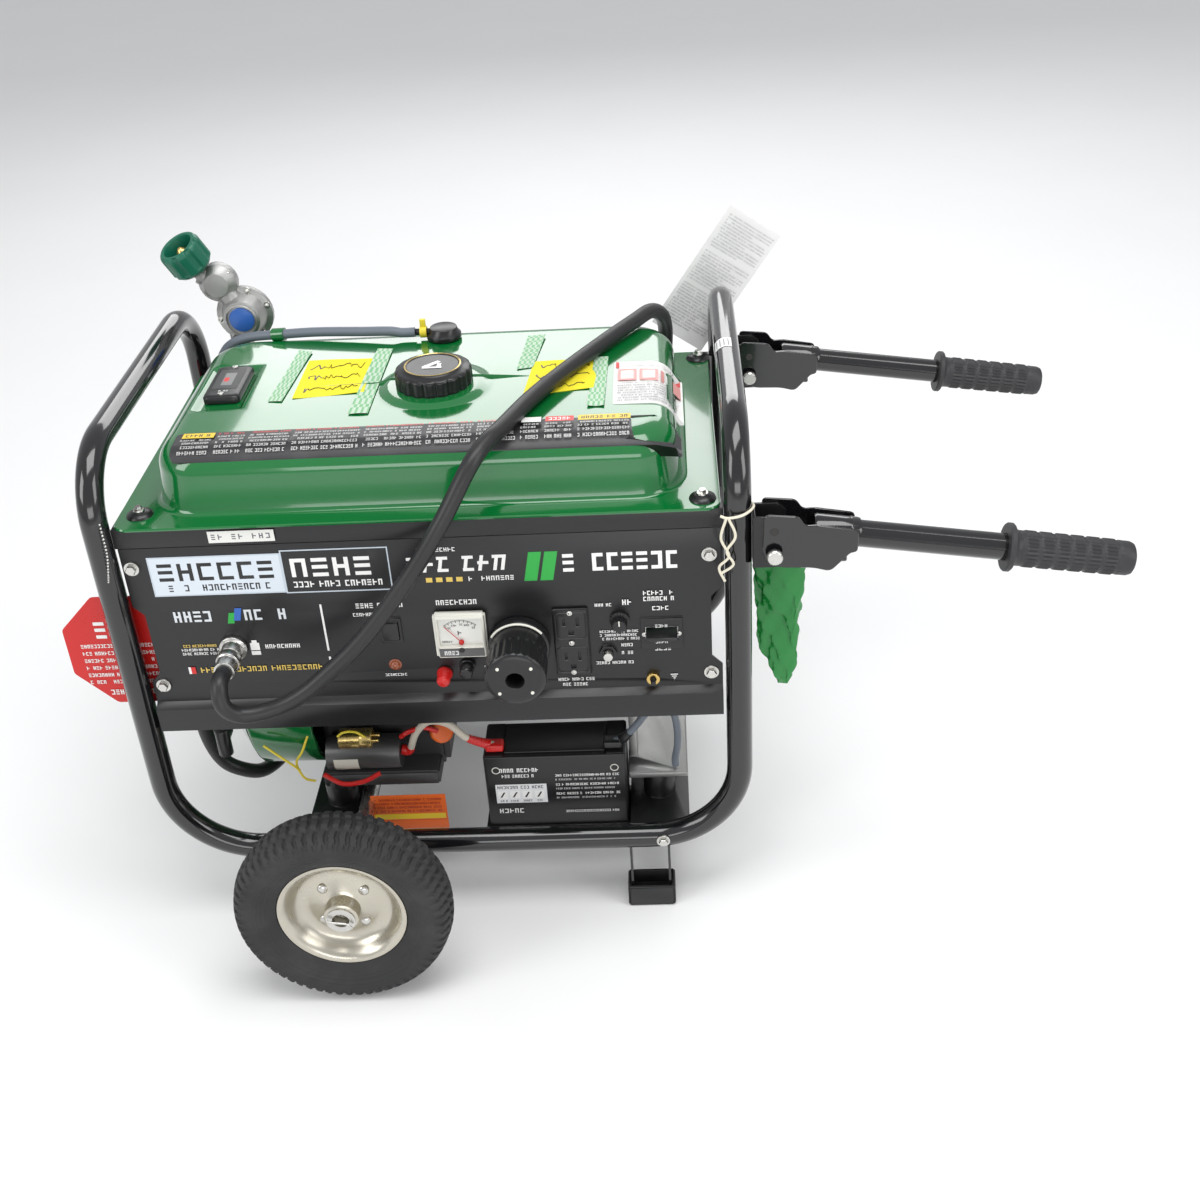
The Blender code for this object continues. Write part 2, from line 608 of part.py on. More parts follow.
VALVE_AT = Vector((VALVE_X, FRONT_Y + VALVE_Y, TANK_TOP + GAP))
BARB_Z = 0.0085
valve_profile = [(VALVE_R, 0.0), (VALVE_R, 0.004), (VALVE_R - 0.003, 0.007), (VALVE_R - 0.004, VALVE_H)]
valve = turned("vent_valve", valve_profile, VALVE_AT, (0, 0, 1), 24)
barb_from = VALVE_AT + Vector((-0.010, 0.0, BARB_Z - 0.002))
barb_to = VALVE_AT + Vector((-0.0295, 0.0, BARB_Z - 0.002))
barb = rod("valve_barb", barb_from, barb_to, 0.0035, 12)
finish(join(valve, barb), PLASTIC)


def channel(name, front, rear):
    """A pressed channel along X, open below, that the tank's flange lies on."""
    top = FLANGE_Z - GAP
    low = top - CHANNEL_H
    roof = top - CHANNEL_T
    near = front + CHANNEL_T
    far = rear - CHANNEL_T
    outline = [(front, low), (front, top), (rear, top), (rear, low), (far, low), (far, roof), (near, roof), (near, low)]
    reach = SIDE_X - TUBE_R - GAP
    return prism(name, outline, "X", -reach, reach)


finish(channel("tank_channel_front", FRONT_Y, FRONT_Y + CHANNEL_D), BLACK_SHEET)
tab_reach = SIDE_X - TUBE_R - GAP
rear_channel = channel("tank_channel_rear", FLANGE_Y[1] - CHANNEL_D, FLANGE_Y[1])
for k, sign in enumerate((-1, 1)):
    tab_x = sorted((sign * tab_reach, sign * (tab_reach - 0.024)))
    tab = block("channel_tab" + str(k), tab_x, (FLANGE_Y[1] - 0.006, REAR_Y + 0.004), (FLANGE_Z - CHANNEL_H, FLANGE_Z - CHANNEL_H + CHANNEL_T))
    join(rear_channel, tab)
finish(rear_channel, BLACK_SHEET)

# ---- control panel -----------------------------------------------------------------------
PANEL_BACK = FRONT_Y + PANEL_T
PANEL_MID = PANEL_BOTTOM + PANEL_H / 2
# Places on the panel: across from its middle and up from its middle.
INLET_AT = (-0.1905, -0.0244)
SWITCH_AT = (-0.036, -0.011)
METER_AT = (0.031, -0.016)
POST_RED_AT = (0.010, -0.063)
POST_BLACK_AT = (0.033, -0.0545)
LOCKING_AT = (0.086, -0.029)
OUTLET_AT = (0.136, -0.0306)
KNOB_AT = (0.1825, -0.008)
BUTTON_AT = (0.170, -0.0444)
BREAKER_AT = (0.222, -0.0245)
GROUND_AT = (0.212, -0.075)


def on_panel(at, out=0.0):
    """A point on the panel's front face, or in front of it by the given distance."""
    return Vector((at[0], FRONT_Y - out, PANEL_MID + at[1]))


def notched_outline():
    """The panel's outline, with its side edges stepped in between the bolt corners."""
    low_notch = PANEL_BOTTOM + PANEL_H * 0.14
    high_notch = PANEL_TOP - PANEL_H * 0.36
    right = [(PANEL_X, PANEL_BOTTOM), (PANEL_X, low_notch), (PANEL_X - NOTCH, low_notch + NOTCH)]
    right += [(PANEL_X - NOTCH, high_notch - NOTCH), (PANEL_X, high_notch), (PANEL_X, PANEL_TOP)]
    return right + [(-x, z) for x, z in reversed(right)]


SWITCH_W = 0.015
SWITCH_H = 0.021
BUTTON_R = 0.0045
BREAKER_W = 0.030
BREAKER_H = 0.016
STUD_R = 0.0025
BEZEL_T = 0.0025


def hole(name, at, wide, high):
    """A rectangular cutter through the panel and any bezel on it."""
    z = PANEL_MID + at[1]
    return block(name, (at[0] - wide / 2, at[0] + wide / 2), (FRONT_Y - 0.02, FRONT_Y + 0.02), (z - high / 2, z + high / 2))


def bezel(name, at, wide, high):
    """A low frame around an opening of the panel."""
    z = PANEL_MID + at[1]
    return block(name, (at[0] - wide / 2, at[0] + wide / 2), (FRONT_Y - BEZEL_T, FRONT_Y + PANEL_T / 2), (z - high / 2, z + high / 2))


panel = prism("control_panel", notched_outline(), "Y", FRONT_Y, PANEL_BACK)
lip_front = FRONT_Y - LIP_OUT
lip_back = FRONT_Y + LIP_DEEP - LIP_OUT
lip_low = PANEL_BOTTOM - LIP_H
lip_t = PANEL_T
lip = [(FRONT_Y, PANEL_BOTTOM + 0.001), (lip_front, PANEL_BOTTOM - 0.004), (lip_front, lip_low), (lip_back, lip_low)]
lip += [(lip_back, lip_low + lip_t), (lip_front + lip_t, lip_low + lip_t), (lip_front + lip_t, PANEL_BOTTOM - 0.005)]
lip += [(PANEL_BACK, PANEL_BOTTOM - 0.001), (PANEL_BACK, PANEL_BOTTOM + 0.001)]
join(panel, prism("panel_lip", lip, "X", -PANEL_X, PANEL_X))
join(panel, bezel("switch_bezel", SWITCH_AT, SWITCH_W + 0.006, SWITCH_H + 0.006))
join(panel, bezel("breaker_bezel", BREAKER_AT, BREAKER_W + 0.010, BREAKER_H + 0.018))
join(panel, rod("button_collar", on_panel(BUTTON_AT, -PANEL_T / 2), on_panel(BUTTON_AT, 0.004), BUTTON_R + 0.0045, 6))
join(panel, rod("ground_stud", on_panel(GROUND_AT, -PANEL_T / 2), on_panel(GROUND_AT, 0.014), STUD_R, 12))
cut(panel, hole("switch_hole", SWITCH_AT, SWITCH_W + 0.001, SWITCH_H + 0.001))
cut(panel, hole("breaker_hole", BREAKER_AT, BREAKER_W + 0.001, BREAKER_H))
cut(panel, rod("button_hole", on_panel(BUTTON_AT, -0.01), on_panel(BUTTON_AT, 0.02), BUTTON_R + RUN, 20))
finish(panel, BLACK_SHEET)


def rocker(name, at, wide, high, out):
    """A rocker across X: a flat-backed bar whose two slopes meet at the middle."""
    z = PANEL_MID + at[1]
    half = high / 2 - 0.0012
    outline = [(FRONT_Y + 0.003, z - half + 0.001), (FRONT_Y - out, z - half), (FRONT_Y - out + 0.0012, z)]
    outline += [(FRONT_Y - out, z + half), (FRONT_Y + 0.003, z + half - 0.001)]
    return prism(name, outline, "X", at[0] - wide / 2, at[0] + wide / 2)


finish(rocker("engine_switch", SWITCH_AT, SWITCH_W, SWITCH_H, 0.005), PLASTIC, on_panel(SWITCH_AT), flat=True)

LEVER_OUT = 0.013
LEVER_T = 0.006
lever_z = PANEL_MID + BREAKER_AT[1]
lever_outline = [(FRONT_Y + 0.005, lever_z - LEVER_T / 2), (FRONT_Y - LEVER_OUT, lever_z - LEVER_T / 3)]
lever_outline += [(FRONT_Y - LEVER_OUT, lever_z + LEVER_T / 3), (FRONT_Y + 0.005, lever_z + LEVER_T / 2)]
lever_x = (BREAKER_AT[0] - BREAKER_W / 2, BREAKER_AT[0] + BREAKER_W / 2)
finish(prism("breaker_lever", lever_outline, "X", *lever_x), PLASTIC, on_panel(BREAKER_AT), flat=True)

button = rod("breaker_button", on_panel(BUTTON_AT, -0.004), on_panel(BUTTON_AT, 0.011), BUTTON_R, 16)
finish(button, STEEL, on_panel(BUTTON_AT))

NUT_R = 0.0065
nut_section = [(STUD_R + RUN, 0.0), (NUT_R, 0.0), (NUT_R, 0.006), (STUD_R + RUN, 0.006)]
finish(turned("ground_nut", nut_section, on_panel(GROUND_AT, GAP), (0, -1, 0), 12, ring=True), BRASS, on_panel(GROUND_AT))

METER_SIDE = 0.050
METER_OUT = 0.009
DIAL_DEEP = 0.005
DIAL_X = 0.021
DIAL_LOW = -0.012
DIAL_HIGH = 0.020
NEEDLE_DROP = 0.008
NEEDLE_LEN = 0.024
meter_z = PANEL_MID + METER_AT[1]
half = METER_SIDE / 2
meter_x = (METER_AT[0] - half, METER_AT[0] + half)
meter = block("voltmeter", meter_x, (FRONT_Y - METER_OUT, FRONT_Y - GAP), (meter_z - half, meter_z + half), 0.002)
dial_y = (FRONT_Y - METER_OUT - 0.01, FRONT_Y - METER_OUT + DIAL_DEEP)
dial = block("meter_dial", (METER_AT[0] - DIAL_X, METER_AT[0] + DIAL_X), dial_y, (meter_z + DIAL_LOW, meter_z + DIAL_HIGH))
finish(cut(meter, dial), METER)
needle_at = Vector((METER_AT[0], FRONT_Y - METER_OUT + DIAL_DEEP / 2, meter_z - NEEDLE_DROP))
hub = rod("voltmeter_needle", needle_at + Vector((0, 0.001, 0)), needle_at - Vector((0, 0.001, 0)), 0.0025, 12)
zero = math.radians(40)
aim = Vector((-math.sin(zero), 0.0, math.cos(zero)))
blade = turned("needle_blade", [(0.0005, 0.0), (0.0004, NEEDLE_LEN)], needle_at, aim, 4)
finish(join(hub, blade), TAG_RED, needle_at)

POST_R = 0.0065
post_profile = [(0.0078, 0.0), (0.0078, 0.003), (POST_R, 0.004), (POST_R, 0.015), (POST_R - 0.0015, 0.017)]
for name, at, look in (("dc_post_red", POST_RED_AT, RED_PLASTIC), ("dc_post_black", POST_BLACK_AT, PLASTIC)):
    finish(turned(name, post_profile, on_panel(at, GAP), (0, -1, 0), 16), look, on_panel(at))

LOCKING_R = 0.0295
LOCKING_LEN = 0.066
CORD_HOLE_R = 0.0085
locking_profile = [
    (LOCKING_R - 0.005, 0.0), (LOCKING_R, 0.003), (LOCKING_R, 0.012), (LOCKING_R - 0.0025, 0.014),
    (LOCKING_R - 0.0025, LOCKING_LEN - 0.012), (LOCKING_R - 0.006, LOCKING_LEN - 0.003),
    (LOCKING_R - 0.009, LOCKING_LEN), (CORD_HOLE_R, LOCKING_LEN), (CORD_HOLE_R, LOCKING_LEN - 0.030),
]
finish(turned("locking_plug", locking_profile, on_panel(LOCKING_AT, GAP), (0, -1, 0), 24), PLASTIC, on_panel(LOCKING_AT))

OUTLET_W = 0.034
OUTLET_H = 0.076
OUTLET_T = 0.004
outlet_z = PANEL_MID + OUTLET_AT[1]
outlet_x = (OUTLET_AT[0] - OUTLET_W / 2, OUTLET_AT[0] + OUTLET_W / 2)
outlet_y = (FRONT_Y - OUTLET_T, FRONT_Y - GAP)
outlet = block("duplex_outlet", outlet_x, outlet_y, (outlet_z - OUTLET_H / 2, outlet_z + OUTLET_H / 2), 0.001)
slot_y = (FRONT_Y - 0.02, FRONT_Y - 0.0015)
for k, up in enumerate((-0.0195, 0.0195)):
    mid = outlet_z + up
    for n, (dx, dz, wide, high) in enumerate(((-0.0065, 0.004, 0.0024, 0.008), (0.0065, 0.004, 0.0024, 0.010), (0.0, -0.008, 0.0048, 0.0055))):
        x = OUTLET_AT[0] + dx
        z = mid + dz
        cut(outlet, block("slot%d%d" % (k, n), (x - wide / 2, x + wide / 2), slot_y, (z - high / 2, z + high / 2)))
finish(outlet, PLASTIC, flat=True)

knob_profile = [(0.0095, 0.0), (0.0095, 0.003), (0.0075, 0.004), (0.0068, 0.013), (0.0055, 0.014)]
finish(turned("selector_knob", knob_profile, on_panel(KNOB_AT, GAP), (0, -1, 0), 20), PLASTIC, on_panel(KNOB_AT))

# ---- engine and alternator ---------------------------------------------------------------
# The crank runs along X. The recoil starter is at its left end, the alternator at its right.
CRANK_Y = FRONT_Y + 0.150
CRANK_Z = RAIL_Z + 0.130
SHAFT_R = 0.012
BLOCK_X = (-0.1445, -0.012)
BLOCK_Y = (CRANK_Y - 0.070, CRANK_Y + 0.070)
BLOCK_Z = (RAIL_Z + 0.036, RAIL_Z + 0.210)
HEAD_X = (-0.130, -0.030)
HEAD_REACH = 0.140
HEAD_Z = (RAIL_Z + 0.120, RAIL_Z + 0.255)
BASE_Z = CROSS_TOP + MOUNT_H + GAP
BASE_T = 0.018
BASE_X = (BLOCK_X[0], -0.020)
BASE_Y = (FRONT_Y + 0.050, REAR_Y - 0.050)
COVER_X = -0.225
COVER_R = 0.108
COVER_WALL = 0.006
RING_X = (-0.0117, 0.186)
RING_R = 0.068
RING_WALL = 0.006
BORE_RUN = 0.0015
ROTOR_R = 0.052
FLYWHEEL_R = 0.085

block_body = block("engine_block", BLOCK_X, BLOCK_Y, BLOCK_Z, 0.006)
head_y = (BLOCK_Y[1] - 0.010, CRANK_Y + HEAD_REACH)
join(block_body, block("cylinder_head", HEAD_X, head_y, HEAD_Z, 0.006))
join(block_body, block("engine_base", BASE_X, BASE_Y, (BASE_Z, BASE_Z + BASE_T), 0.002))
spout_root = Vector((-0.030, BLOCK_Y[0] + 0.012, RAIL_Z + 0.080))
spout_tip = Vector((-0.016, FRONT_Y + 0.066, RAIL_Z + 0.094))
join(block_body, rod("oil_spout", spout_root, spout_tip, 0.009, 16))
bore_from = (BLOCK_X[0] - 0.01, CRANK_Y, CRANK_Z)
bore_to = (BLOCK_X[1] + 0.01, CRANK_Y, CRANK_Z)
cut(block_body, rod("crank_bore", bore_from, bore_to, SHAFT_R + BORE_RUN, 24))
finish(block_body, CAST)

spout_run = (spout_tip - spout_root).normalized()
oil_profile = [(0.0115, 0.0), (0.0125, 0.002), (0.0125, 0.009), (0.0105, 0.011)]
oil_at = spout_tip + spout_run * GAP
finish(turned("oil_cap", oil_profile, oil_at, spout_run, 16), ("orange_plastic", (0.75, 0.22, 0.04), 0.35), oil_at)

cover_len = BLOCK_X[0] - GAP - COVER_X
cover_profile = [
    (COVER_R - COVER_WALL, cover_len), (COVER_R - COVER_WALL, 0.012), (0.030, COVER_WALL), (0.030, 0.0),
    (COVER_R - 0.020, 0.0), (COVER_R, 0.014), (COVER_R, cover_len),
]
cover = turned("recoil_cover", cover_profile, (COVER_X, CRANK_Y, CRANK_Z), (1, 0, 0), 32, ring=True)
finish(cover, GREEN)

hub_len = 0.010
rotor_profile = [
    (0.022, 0.0), (0.022, hub_len), (FLYWHEEL_R, hub_len + 0.006), (FLYWHEEL_R, hub_len + 0.046), (SHAFT_R, hub_len + 0.046),
    (SHAFT_R, RING_X[0] + 0.020 - COVER_X), (ROTOR_R, RING_X[0] + 0.020 - COVER_X),
    (ROTOR_R, RING_X[1] - 0.035 - COVER_X), (SHAFT_R, RING_X[1] - 0.035 - COVER_X), (SHAFT_R, RING_X[1] - COVER_X),
]
crank_at = (COVER_X + 0.004, CRANK_Y, CRANK_Z)
finish(turned("crank_rotor", rotor_profile, crank_at, (1, 0, 0), 24), STEEL, crank_at)

ring_section = [(RING_R - RING_WALL, 0.0), (RING_R, 0.0), (RING_R, RING_X[1] - RING_X[0]), (RING_R - RING_WALL, RING_X[1] - RING_X[0])]
ring = turned("alternator", ring_section, (RING_X[0], CRANK_Y, CRANK_Z), (1, 0, 0), 32, ring=True)
foot_x = (RING_X[1] - 0.006, CROSS_RIGHT_X + CROSS_W / 2)
join(ring, block("alternator_foot", foot_x, BASE_Y, (BASE_Z, BASE_Z + 0.008), 0.001))
for k, y in enumerate((CRANK_Y - 0.060, CRANK_Y + 0.060)):
    join(ring, block("alternator_leg" + str(k), (RING_X[1] - 0.004, RING_X[1] + 0.004), (y - 0.012, y + 0.012), (BASE_Z + 0.004, CRANK_Z)))
finish(ring, CAST)

MUFFLER_Y = (CRANK_Y + 0.098, REAR_Y - 0.026)
muffler = block("muffler", (-0.004, 0.190), MUFFLER_Y, (RAIL_Z + 0.172, RAIL_Z + 0.290), 0.014)
elbow = rod("exhaust_elbow", (HEAD_X[1] + GAP, CRANK_Y + 0.122, RAIL_Z + 0.215), (0.012, CRANK_Y + 0.122, RAIL_Z + 0.215), 0.014, 16)
outlet_pipe = rod("exhaust_outlet", (0.180, CRANK_Y + 0.150, RAIL_Z + 0.225), (0.212, CRANK_Y + 0.150, RAIL_Z + 0.225), 0.012, 16)
finish(join(muffler, elbow, outlet_pipe), ("muffler_steel", (0.10, 0.09, 0.08), 0.60, 0.6))

CLEANER_X = (-0.142, -0.024)
CLEANER_Y = (CRANK_Y + HEAD_REACH + GAP, REAR_Y - 0.020)
CLEANER_Z = (RAIL_Z + 0.100, RAIL_Z + 0.262)
finish(block("air_cleaner", CLEANER_X, CLEANER_Y, CLEANER_Z, 0.008), PLASTIC)

starter_y = BLOCK_Y[0] - 0.0195
starter = rod("starter_motor", (-0.136, starter_y, RAIL_Z + 0.074), (-0.058, starter_y, RAIL_Z + 0.074), 0.0185, 24)
solenoid = rod("solenoid", (-0.120, starter_y - 0.006, RAIL_Z + 0.096), (-0.086, starter_y - 0.006, RAIL_Z + 0.096), 0.010, 16)
finish(join(starter, solenoid), ("starter_steel", (0.42, 0.36, 0.24), 0.35, 0.8))

HANDLE_AT = Vector((COVER_X - 0.0105, FRONT_Y + 0.034, RAIL_Z + 0.113))
grip_bar = rod("recoil_handle", HANDLE_AT + Vector((0, 0, 0.016)), HANDLE_AT - Vector((0, 0, 0.016)), 0.0075, 16)
grip_neck = rod("recoil_neck", HANDLE_AT, HANDLE_AT + Vector((0, 0.020, 0)), 0.0055, 12)
finish(join(grip_bar, grip_neck), PLASTIC, HANDLE_AT)

# ---- battery -----------------------------------------------------------------------------
BATTERY_X = (0.030, 0.179)
BATTERY_Y = (FRONT_Y + 0.036, FRONT_Y + 0.095)
BATTERY_Z = (RAIL_Z - 0.0132, RAIL_Z + 0.082)
battery = block("battery", BATTERY_X, BATTERY_Y, BATTERY_Z, 0.002)
well_x = inset(BATTERY_X, 0.022)
well_y = (BATTERY_Y[0] + 0.006, BATTERY_Y[1] - 0.006)
finish(cut(battery, block("battery_top_well", well_x, well_y, (BATTERY_Z[1] - 0.003, BATTERY_Z[1] + 0.01))), PLASTIC)
tray = block("battery_tray", (BATTERY_X[0] - 0.004, CROSS_RIGHT_X - CROSS_W / 2 + 0.004), (BATTERY_Y[0] - 0.003, BATTERY_Y[1] + 0.003), (BATTERY_Z[0] - GAP - 0.003, BATTERY_Z[0] - GAP))
join(bpy.data.objects["crossmember_right"], tray)

# ---- gas inlet, regulator and hoses ------------------------------------------------------
INLET_LEN = 0.018
inlet_profile = [(0.0135, 0.0), (0.0135, 0.005), (0.0105, 0.006), (0.0105, INLET_LEN)]
finish(turned("lpg_inlet", inlet_profile, on_panel(INLET_AT, GAP), (0, -1, 0), 20), STEEL)
FERRULE_R = 0.0115
FERRULE_LEN = 0.024
ferrule_profile = [(FERRULE_R - 0.001, 0.0), (FERRULE_R, 0.002), (FERRULE_R, 0.010), (FERRULE_R - 0.0015, 0.011), (FERRULE_R - 0.0015, FERRULE_LEN)]
ferrule_at = on_panel(INLET_AT, INLET_LEN + 2 * GAP)
finish(turned("lpg_ferrule", ferrule_profile, ferrule_at, (0, -1, 0), 20), STEEL)

HOSE_R = 0.008
hose_start = ferrule_at + Vector((0.0, -FERRULE_LEN - GAP, 0.0))
# The regulator lies against the tank's rear flange: a big diaphragm stage, a small one above it.
REG_Y = FLANGE_Y[1] + 0.012
BIG_AT = Vector((-SIDE_X + 0.0725, REG_Y, FLANGE_Z + 0.0655))
SMALL_AT = Vector((-SIDE_X + 0.050, REG_Y, FLANGE_Z + 0.103))
NUT_AT = Vector((-SIDE_X + 0.0285, REG_Y - 0.003, FLANGE_Z + 0.121))
NUT_RUN = Vector((-0.36, -0.30, 0.88)).normalized()
BIG_R = 0.031
BIG_T = 0.036
SMALL_R = 0.021
NUT_OUT_R = 0.0235
NUT_IN_R = 0.0165
NUT_LEN = 0.032
STEM_R = 0.0075
big_profile = [(0.018, 0.0), (BIG_R - 0.008, 0.006), (BIG_R - 0.006, 0.013), (BIG_R, 0.014), (BIG_R, 0.020), (BIG_R - 0.006, 0.021), (0.020, BIG_T)]
regulator = turned("regulator_body", big_profile, BIG_AT + Vector((0, BIG_T / 2, 0)), (0, -1, 0), 28)
small_profile = [(0.014, 0.0), (SMALL_R, 0.008), (SMALL_R, 0.018), (0.013, 0.026)]
join(regulator, turned("small_stage", small_profile, SMALL_AT + Vector((0, 0.013, 0)), (0, -1, 0), 24))
join(regulator, rod("stage_neck", BIG_AT, SMALL_AT, 0.012, 16))
join(regulator, rod("inlet_neck", SMALL_AT, NUT_AT - NUT_RUN * 0.008, 0.0115, 16))
join(regulator, rod("inlet_stem", NUT_AT - NUT_RUN * 0.014, NUT_AT + NUT_RUN * 0.021, STEM_R, 16))
OUTLET_FOOT = Vector((BIG_AT.x - 0.012, REG_Y + 0.004, FLANGE_Z + 0.010))
join(regulator, rod("outlet_neck", OUTLET_FOOT + Vector((0, 0, 0.045)), OUTLET_FOOT, 0.0105, 16))
rest_y = (FLANGE_Y[1] - 0.012, REG_Y - 0.0055)
join(regulator, block("rest_lug", (BIG_AT.x - 0.016, BIG_AT.x + 0.006), rest_y, (FLANGE_Z + FLANGE_T + GAP, FLANGE_Z + 0.045), 0.002))
finish(regulator, CAST)
nut_section = [
    (STEM_R + RUN, 0.0), (NUT_OUT_R - 0.004, 0.0), (NUT_OUT_R, 0.004), (NUT_OUT_R, NUT_LEN - 0.002),
    (NUT_OUT_R - 0.002, NUT_LEN), (NUT_IN_R, NUT_LEN), (NUT_IN_R, 0.006), (STEM_R + RUN, 0.006),
]
nut_at = NUT_AT + NUT_RUN * GAP
finish(turned("regulator_nut", nut_section, nut_at, NUT_RUN, 24, ring=True), GREEN_PLASTIC, nut_at)

hose_end = OUTLET_FOOT - Vector((0.0, 0.0, GAP))
OVER_TANK = TANK_TOP + HOSE_R + 0.0007


def route(start, out, points, end, into):
    """A cord's route: straight out of its start, over the given points and straight into its end.

    A point is across from the middle, behind the front centreline and above the ground.
    """
    middle = [Vector((x, FRONT_Y + y, z)) for x, y, z in points]
    return [start, start + Vector(out), *middle, end - Vector(into), end]


lpg_route = route(hose_start, (0.0, -0.019, 0.0), [
    (-0.1880, -0.0720, RAIL_Z + 0.2350), (-0.1740, -0.0680, RAIL_Z + 0.2210),
    (-0.1470, -0.0610, RAIL_Z + 0.2210), (-0.1200, -0.0570, RAIL_Z + 0.2320), (-0.0940, -0.0530, RAIL_Z + 0.2510),
    (-0.0500, -0.0480, RAIL_Z + 0.2920), (-0.0010, -0.0420, RAIL_Z + 0.3530), (0.0320, -0.0340, RAIL_Z + 0.4020),
    (0.0580, -0.0160, RAIL_Z + 0.4440), (0.0720, 0.0060, OVER_TANK - 0.0020), (0.0840, 0.0300, OVER_TANK),
    (0.1070, 0.0900, OVER_TANK), (0.1330, 0.1440, OVER_TANK), (0.1700, 0.2120, OVER_TANK),
    (0.2030, 0.2680, OVER_TANK), (0.2200, 0.2980, OVER_TANK - 0.0015), (0.2310, 0.3260, RAIL_Z + 0.4420),
    (0.2350, 0.3500, RAIL_Z + 0.4180), (0.2340, 0.3640, RAIL_Z + 0.3850), (0.2280, 0.3720, RAIL_Z + 0.3450),
    (0.2050, 0.3770, RAIL_Z + 0.3060), (0.1600, 0.3800, RAIL_Z + 0.2800), (0.0900, 0.3810, RAIL_Z + 0.2680),
    (0.0000, 0.3810, RAIL_Z + 0.2700), (-0.0900, 0.3800, RAIL_Z + 0.2860), (-0.1600, 0.3760, RAIL_Z + 0.3060),
    (-0.2080, 0.3690, RAIL_Z + 0.3220), (-0.2300, 0.3620, RAIL_Z + 0.3460),
], hose_end, (0.0, 0.0, 0.024))
finish(pipe("lpg_hose", smooth(lpg_route, 0.020), HOSE_R, 2), RUBBER)

feed_start = Vector((INLET_AT[0], PANEL_BACK + GAP, PANEL_MID + INLET_AT[1]))
feed_end = Vector((CLEANER_X[0] - GAP, CLEANER_Y[0] + 0.018, RAIL_Z + 0.125))
feed_route = route(feed_start, (0.0, 0.019, 0.0), [
    (-0.2060, 0.0400, RAIL_Z + 0.2420), (-0.2350, 0.0600, RAIL_Z + 0.2150),
    (-0.2600, 0.0740, RAIL_Z + 0.1700), (-0.2700, 0.0800, RAIL_Z + 0.1200), (-0.2690, 0.0820, RAIL_Z + 0.0800),
    (-0.2600, 0.0840, RAIL_Z + 0.0500), (-0.2450, 0.0880, RAIL_Z + 0.0340), (-0.2280, 0.1050, RAIL_Z + 0.0170),
    (-0.2150, 0.1350, RAIL_Z + 0.0100), (-0.2050, 0.1750, RAIL_Z + 0.0110), (-0.1980, 0.2200, RAIL_Z + 0.0200),
    (-0.1930, 0.2600, RAIL_Z + 0.0400), (-0.1860, 0.2950, RAIL_Z + 0.0750), (-0.1750, 0.3080, RAIL_Z + 0.1120),
], feed_end, (0.019, 0.0, 0.0))
finish(pipe("gas_feed_hose", smooth(feed_route, 0.020), HOSE_R, 2), RUBBER)

VENT_R = 0.005
vent_start = barb_to - Vector((GAP, 0.0, 0.0))
vent_end = Vector((CLEANER_X[0] - GAP, CLEANER_Y[0] + 0.040, RAIL_Z + 0.235))
vent_route = route(vent_start, (-0.014, 0.0, 0.0), [
    (-0.0500, 0.2710, RAIL_Z + 0.4585), (-0.0800, 0.2760, RAIL_Z + 0.4575), (-0.1300, 0.2840, RAIL_Z + 0.4560),
    (-0.1700, 0.2890, RAIL_Z + 0.4530), (-0.2050, 0.2970, RAIL_Z + 0.4480), (-0.2300, 0.3050, RAIL_Z + 0.4370),
    (-0.2460, 0.3150, RAIL_Z + 0.4170), (-0.2510, 0.3280, RAIL_Z + 0.4030), (-0.2515, 0.3420, RAIL_Z + 0.4000),
    (-0.2515, 0.3520, RAIL_Z + 0.3900), (-0.2515, 0.3560, RAIL_Z + 0.3700), (-0.2450, 0.3560, RAIL_Z + 0.3300),
    (-0.2200, 0.3540, RAIL_Z + 0.2850), (-0.1850, 0.3440, RAIL_Z + 0.2480),
], vent_end, (0.014, 0.0, 0.0))
finish(pipe("vent_hose", smooth(vent_route, 0.014), VENT_R, 2), GREY_HOSE)

# Battery leads: red from the starter to the battery's left post, black from its right post up.
LEAD_R = 0.004
lead_z = BATTERY_Z[1] + LEAD_R
red_start = Vector((-0.0575, starter_y - 0.004, RAIL_Z + 0.078))
red_end = Vector((BATTERY_X[0] + 0.012, BATTERY_Y[0] + 0.012, lead_z + 0.0008))
red_route = route(red_start, (0.009, 0.0, 0.0), [
    (-0.0380, 0.0480, RAIL_Z + 0.1050), (-0.0220, 0.0420, RAIL_Z + 0.1240),
    (-0.0020, 0.0400, RAIL_Z + 0.1220), (0.0140, 0.0430, RAIL_Z + 0.1020),
], red_end, (0.012, 0.001, -0.004))
finish(pipe("battery_cable_red", smooth(red_route, 0.010), LEAD_R, 2), ("clear_sleeve", (0.72, 0.66, 0.56), 0.45))
black_start = Vector((BATTERY_X[1] - 0.012, BATTERY_Y[0] + 0.012, lead_z + 0.0008))
black_end = Vector((0.2300, FRONT_Y + 0.056, BASE_Z + 0.008 + LEAD_R + 0.0008))
black_route = route(black_start, (0.009, 0.0, 0.003), [
    (0.1800, 0.0440, RAIL_Z + 0.0960), (0.1930, 0.0400, RAIL_Z + 0.1150), (0.2060, 0.0390, RAIL_Z + 0.1330),
    (0.2190, 0.0400, RAIL_Z + 0.1380), (0.2290, 0.0420, RAIL_Z + 0.1280), (0.2330, 0.0450, RAIL_Z + 0.1050),
    (0.2330, 0.0490, RAIL_Z + 0.0800),
], black_end, (0.0, 0.001, -0.010))
finish(pipe("battery_cable_black", smooth(black_route, 0.010), LEAD_R, 2), RUBBER)

